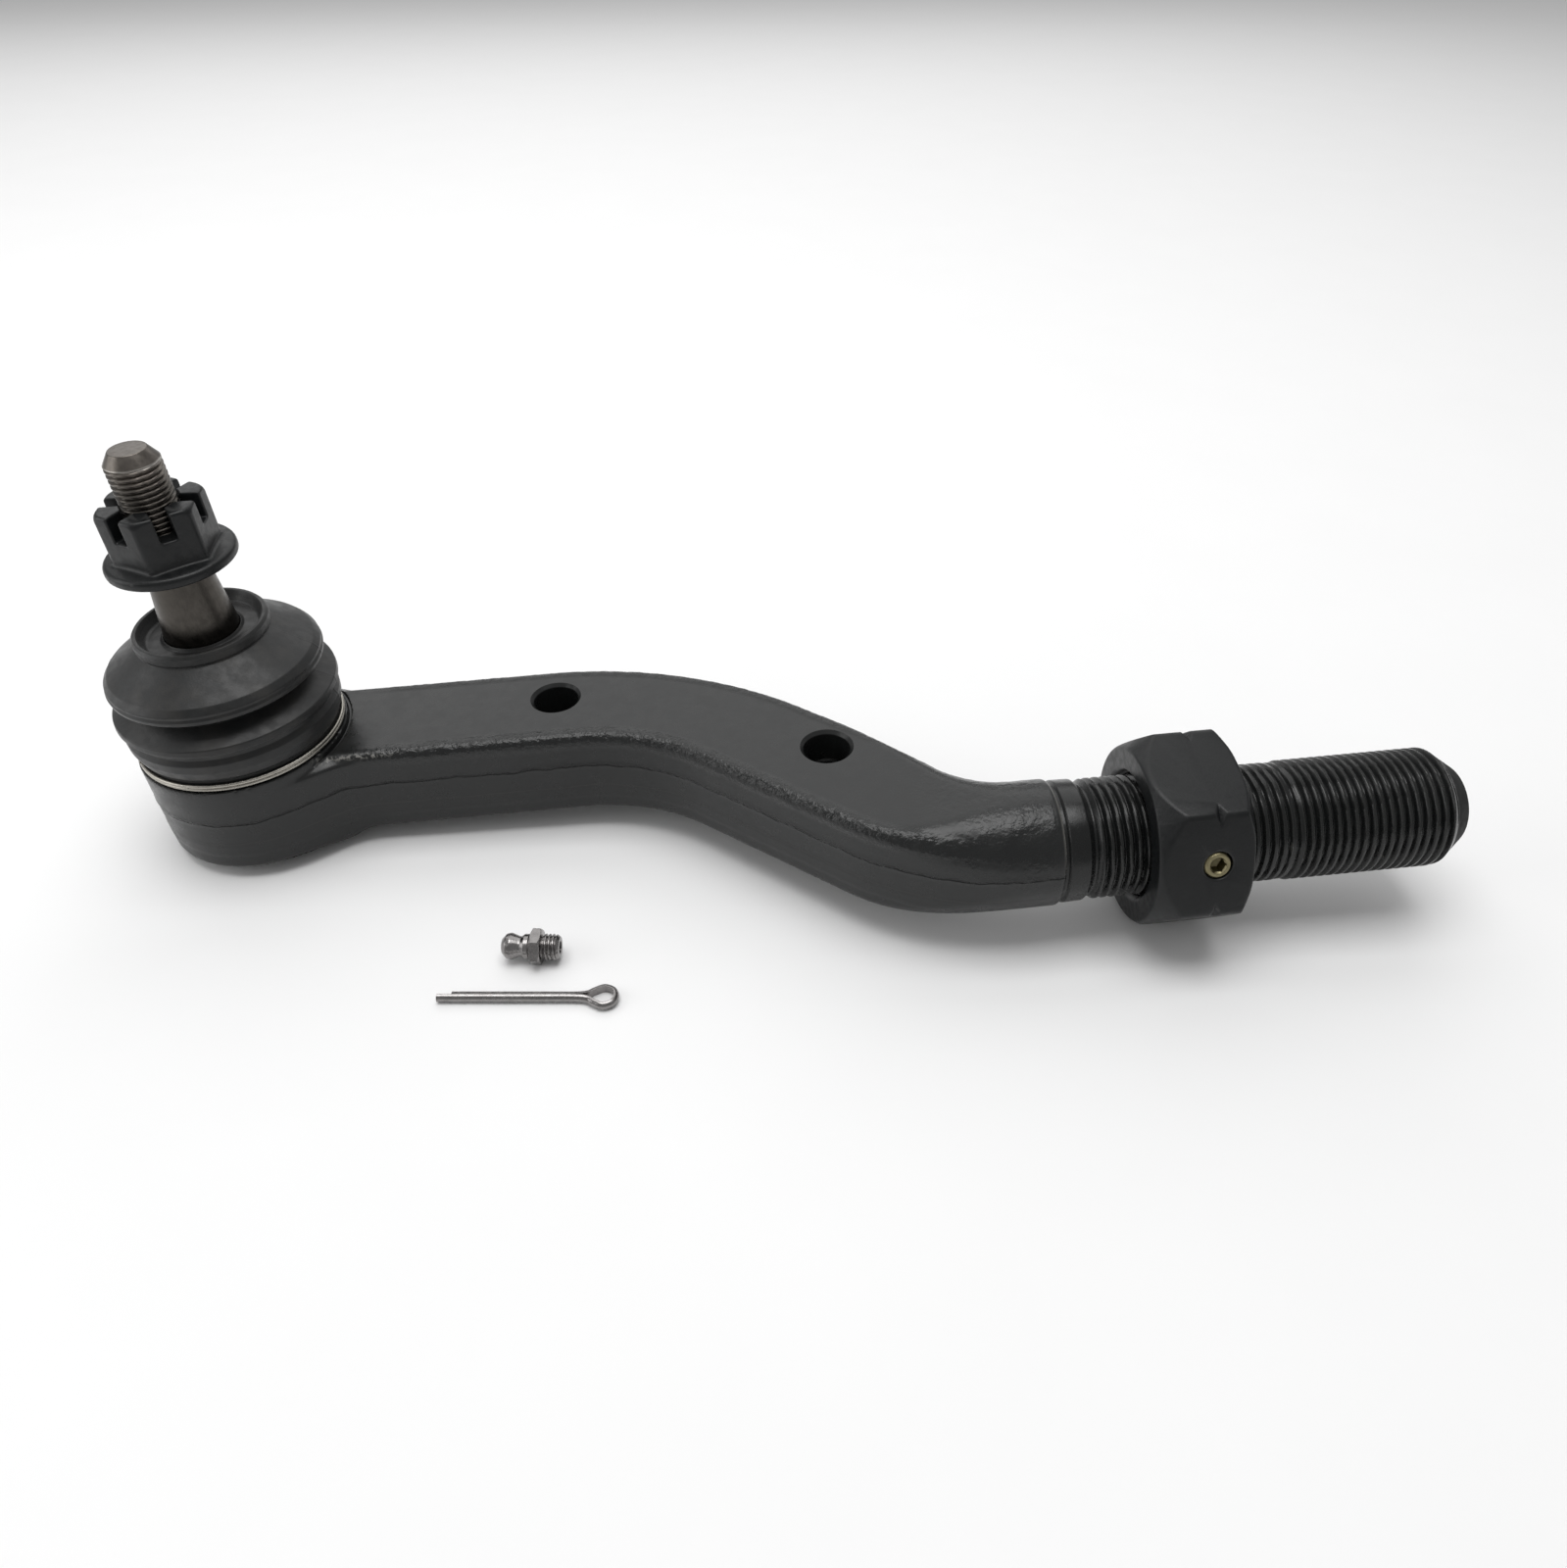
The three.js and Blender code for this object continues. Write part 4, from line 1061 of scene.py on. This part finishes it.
def bare_steel():
    """Steel painted lighter at the stud's tip and darker below the nut as painted shade, with a painted
    highlight ring at the thread's first crest.
    """
    s = Surface("bare_steel", metallic=1)
    streaks = s.noise(1.6, 4, 0.6, s.stretched((2, 2, 0.5)))
    bright = s.mix(s.noise(5, 4), (0.115, 0.103, 0.091), (0.175, 0.158, 0.142))
    shaded_tone = s.mix(s.noise(5, 4), (0.060, 0.055, 0.049), (0.095, 0.087, 0.078))
    # painted shade: the steel is darker lower down and lighter towards the tip
    height = s.span(s.axis("Z"), (NUT_HIGH + 3) * MM, (STUD_TOP - 4) * MM, 0, 1)
    shaded_low = s.mix(height, shaded_tone, bright)
    color = s.mix(s.span(streaks, 0.35, 0.7, 0, 0.3), shaded_low, (0.060, 0.054, 0.048))
    # painted highlight: a bright ring at the thread's first crest under the tip's chamfer
    first_crest_highlight = s.math("MULTIPLY", line_mask(s, STUD_TOP - 2.95, 0.4, 0.3), 0.8)
    color = s.mix(first_crest_highlight, color, (0.50, 0.48, 0.45))
    roughness = s.span(s.noise(1.3, 4), 0.3, 0.7, 0.28, 0.42)
    return s.finish(color, roughness, streaks, 0.006)


def bright_steel():
    s = Surface("bright_steel", metallic=1)
    color = s.mix(s.noise(2, 3), (0.30, 0.285, 0.25), (0.44, 0.42, 0.38))
    roughness = s.span(s.noise(0.8, 3), 0.3, 0.7, 0.24, 0.4)
    return s.finish(color, roughness, s.noise(0.3, 2), 0.006)


def yellow_zinc():
    s = Surface("yellow_zinc", metallic=1)
    color = s.mix(s.noise(1.2, 4), (0.17, 0.15, 0.085), (0.29, 0.26, 0.16))
    roughness = s.span(s.noise(0.7, 3), 0.3, 0.7, 0.3, 0.46)
    return s.finish(color, roughness, s.noise(0.3, 3), 0.012)


def bright_zinc():
    s = Surface("bright_zinc", metallic=1)
    color = s.mix(s.noise(1.5, 4), (0.16, 0.152, 0.15), (0.34, 0.33, 0.325))
    roughness = s.span(s.noise(0.9, 3), 0.3, 0.7, 0.16, 0.32)
    return s.finish(color, roughness, s.noise(0.4, 3), 0.012)


def sintered_metal():
    s = Surface("sintered_metal", metallic=0.8)
    color = s.mix(s.noise(0.4, 4), (0.09, 0.085, 0.08), (0.17, 0.16, 0.15))
    return s.finish(color, s.span(s.noise(0.7, 3), 0.3, 0.7, 0.5, 0.7), s.noise(0.2, 3), 0.03)


def acetal():
    s = Surface("acetal", specular=0.5)
    color = s.mix(s.noise(6, 3), (0.58, 0.54, 0.43), (0.66, 0.62, 0.50))
    return s.finish(color, s.span(s.noise(1.2, 3), 0.3, 0.7, 0.35, 0.5), s.noise(0.5, 2), 0.008)


# ---- stage, lights, camera ----
def make_stage():
    """A pale floor on which the housing, the arm and the loose pieces lie."""
    size = 6.0
    mesh = bpy.data.meshes.new("floor")
    corners = [(-size, -size, 0), (size, -size, 0), (size, size, 0), (-size, size, 0)]
    mesh.from_pydata(corners, [], [(0, 1, 2, 3)])
    floor = bpy.data.objects.new("floor", mesh)
    bpy.context.scene.collection.objects.link(floor)
    turn = Vector((0, 0, 1)).rotation_difference(SURFACE_UP).to_matrix().to_4x4()
    floor.matrix_world = Matrix.Translation(Vector((-LIP_R, 0, LIP_BOTTOM)) * MM) @ turn
    s = Surface("pale_floor", specular=0.2)
    color = s.mix(s.noise(40, 3), (0.86, 0.86, 0.86), (0.88, 0.88, 0.88))
    mesh.materials.append(s.finish(color, s.span(s.noise(5, 2), 0, 1, 0.85, 0.95)))


def area_light(name, spot, target, size, power):
    """A rectangular soft light at a spot, aimed at a target, in metres and watts."""
    data = bpy.data.lights.new(name, "AREA")
    data.shape = "RECTANGLE"
    data.size, data.size_y = size
    data.energy = power
    light = bpy.data.objects.new(name, data)
    light.location = spot
    light.rotation_euler = (Vector(target) - Vector(spot)).to_track_quat("-Z", "Y").to_euler()
    bpy.context.scene.collection.objects.link(light)


def make_lights():
    world = bpy.data.worlds.new("studio")
    bpy.context.scene.world = world
    world.use_nodes = True
    background = world.node_tree.nodes["Background"]
    background.inputs["Color"].default_value = (1, 1, 1, 1)
    background.inputs["Strength"].default_value = 0.36
    area_light("back_softbox", (0.1, 0.9, 0.85), target=(0.13, -0.02, 0), size=(1.7, 1.1), power=6.5)
    area_light("overhead", (0.12, -0.02, 1.1), target=(0.12, -0.02, 0), size=(1.0, 0.6), power=8)
    area_light("left_fill", (-1.0, -0.1, 0.5), target=(0.1, 0, 0), size=(0.8, 0.8), power=3.5)


def make_camera():
    """Where the photographer stood, looking 41 degrees down."""
    spot = Vector((0.11938, -0.25119, 0.19266))
    heading, down, roll = (math.radians(angle) for angle in (4.15, 40.97, -2.5))
    data = bpy.data.cameras.new("camera")
    data.sensor_width = 36
    data.lens = 27.15
    data.clip_start = 0.01
    camera = bpy.data.objects.new("camera", data)
    turn = Matrix.Rotation(-heading, 4, "Z") @ Matrix.Rotation(math.pi / 2 - down, 4, "X")
    camera.matrix_world = Matrix.Translation(spot) @ turn @ Matrix.Rotation(roll, 4, "Z")
    bpy.context.scene.collection.objects.link(camera)
    bpy.context.scene.camera = camera


def main():
    make_camera()
    make_lights()
    make_stage()
    paint, machined, oxide, boot_rubber = black_paint(), machined_paint(), black_oxide(), rubber()
    steel, bright, zinc, gold = bare_steel(), bright_steel(), bright_zinc(), yellow_zinc()
    make_forging(paint)
    make_shank(machined)
    make_stud(steel)
    make_boot(boot_rubber)
    make_boot_rings(bright)
    make_bearings(sintered_metal(), acetal(), bright, steel)
    make_castle_nut(oxide)
    make_jam_nut(oxide)
    make_set_screw(gold)
    make_grease_fitting(zinc, bright)
    make_cotter_pin(zinc)
    bpy.context.scene.view_settings.view_transform = "Standard"


main()
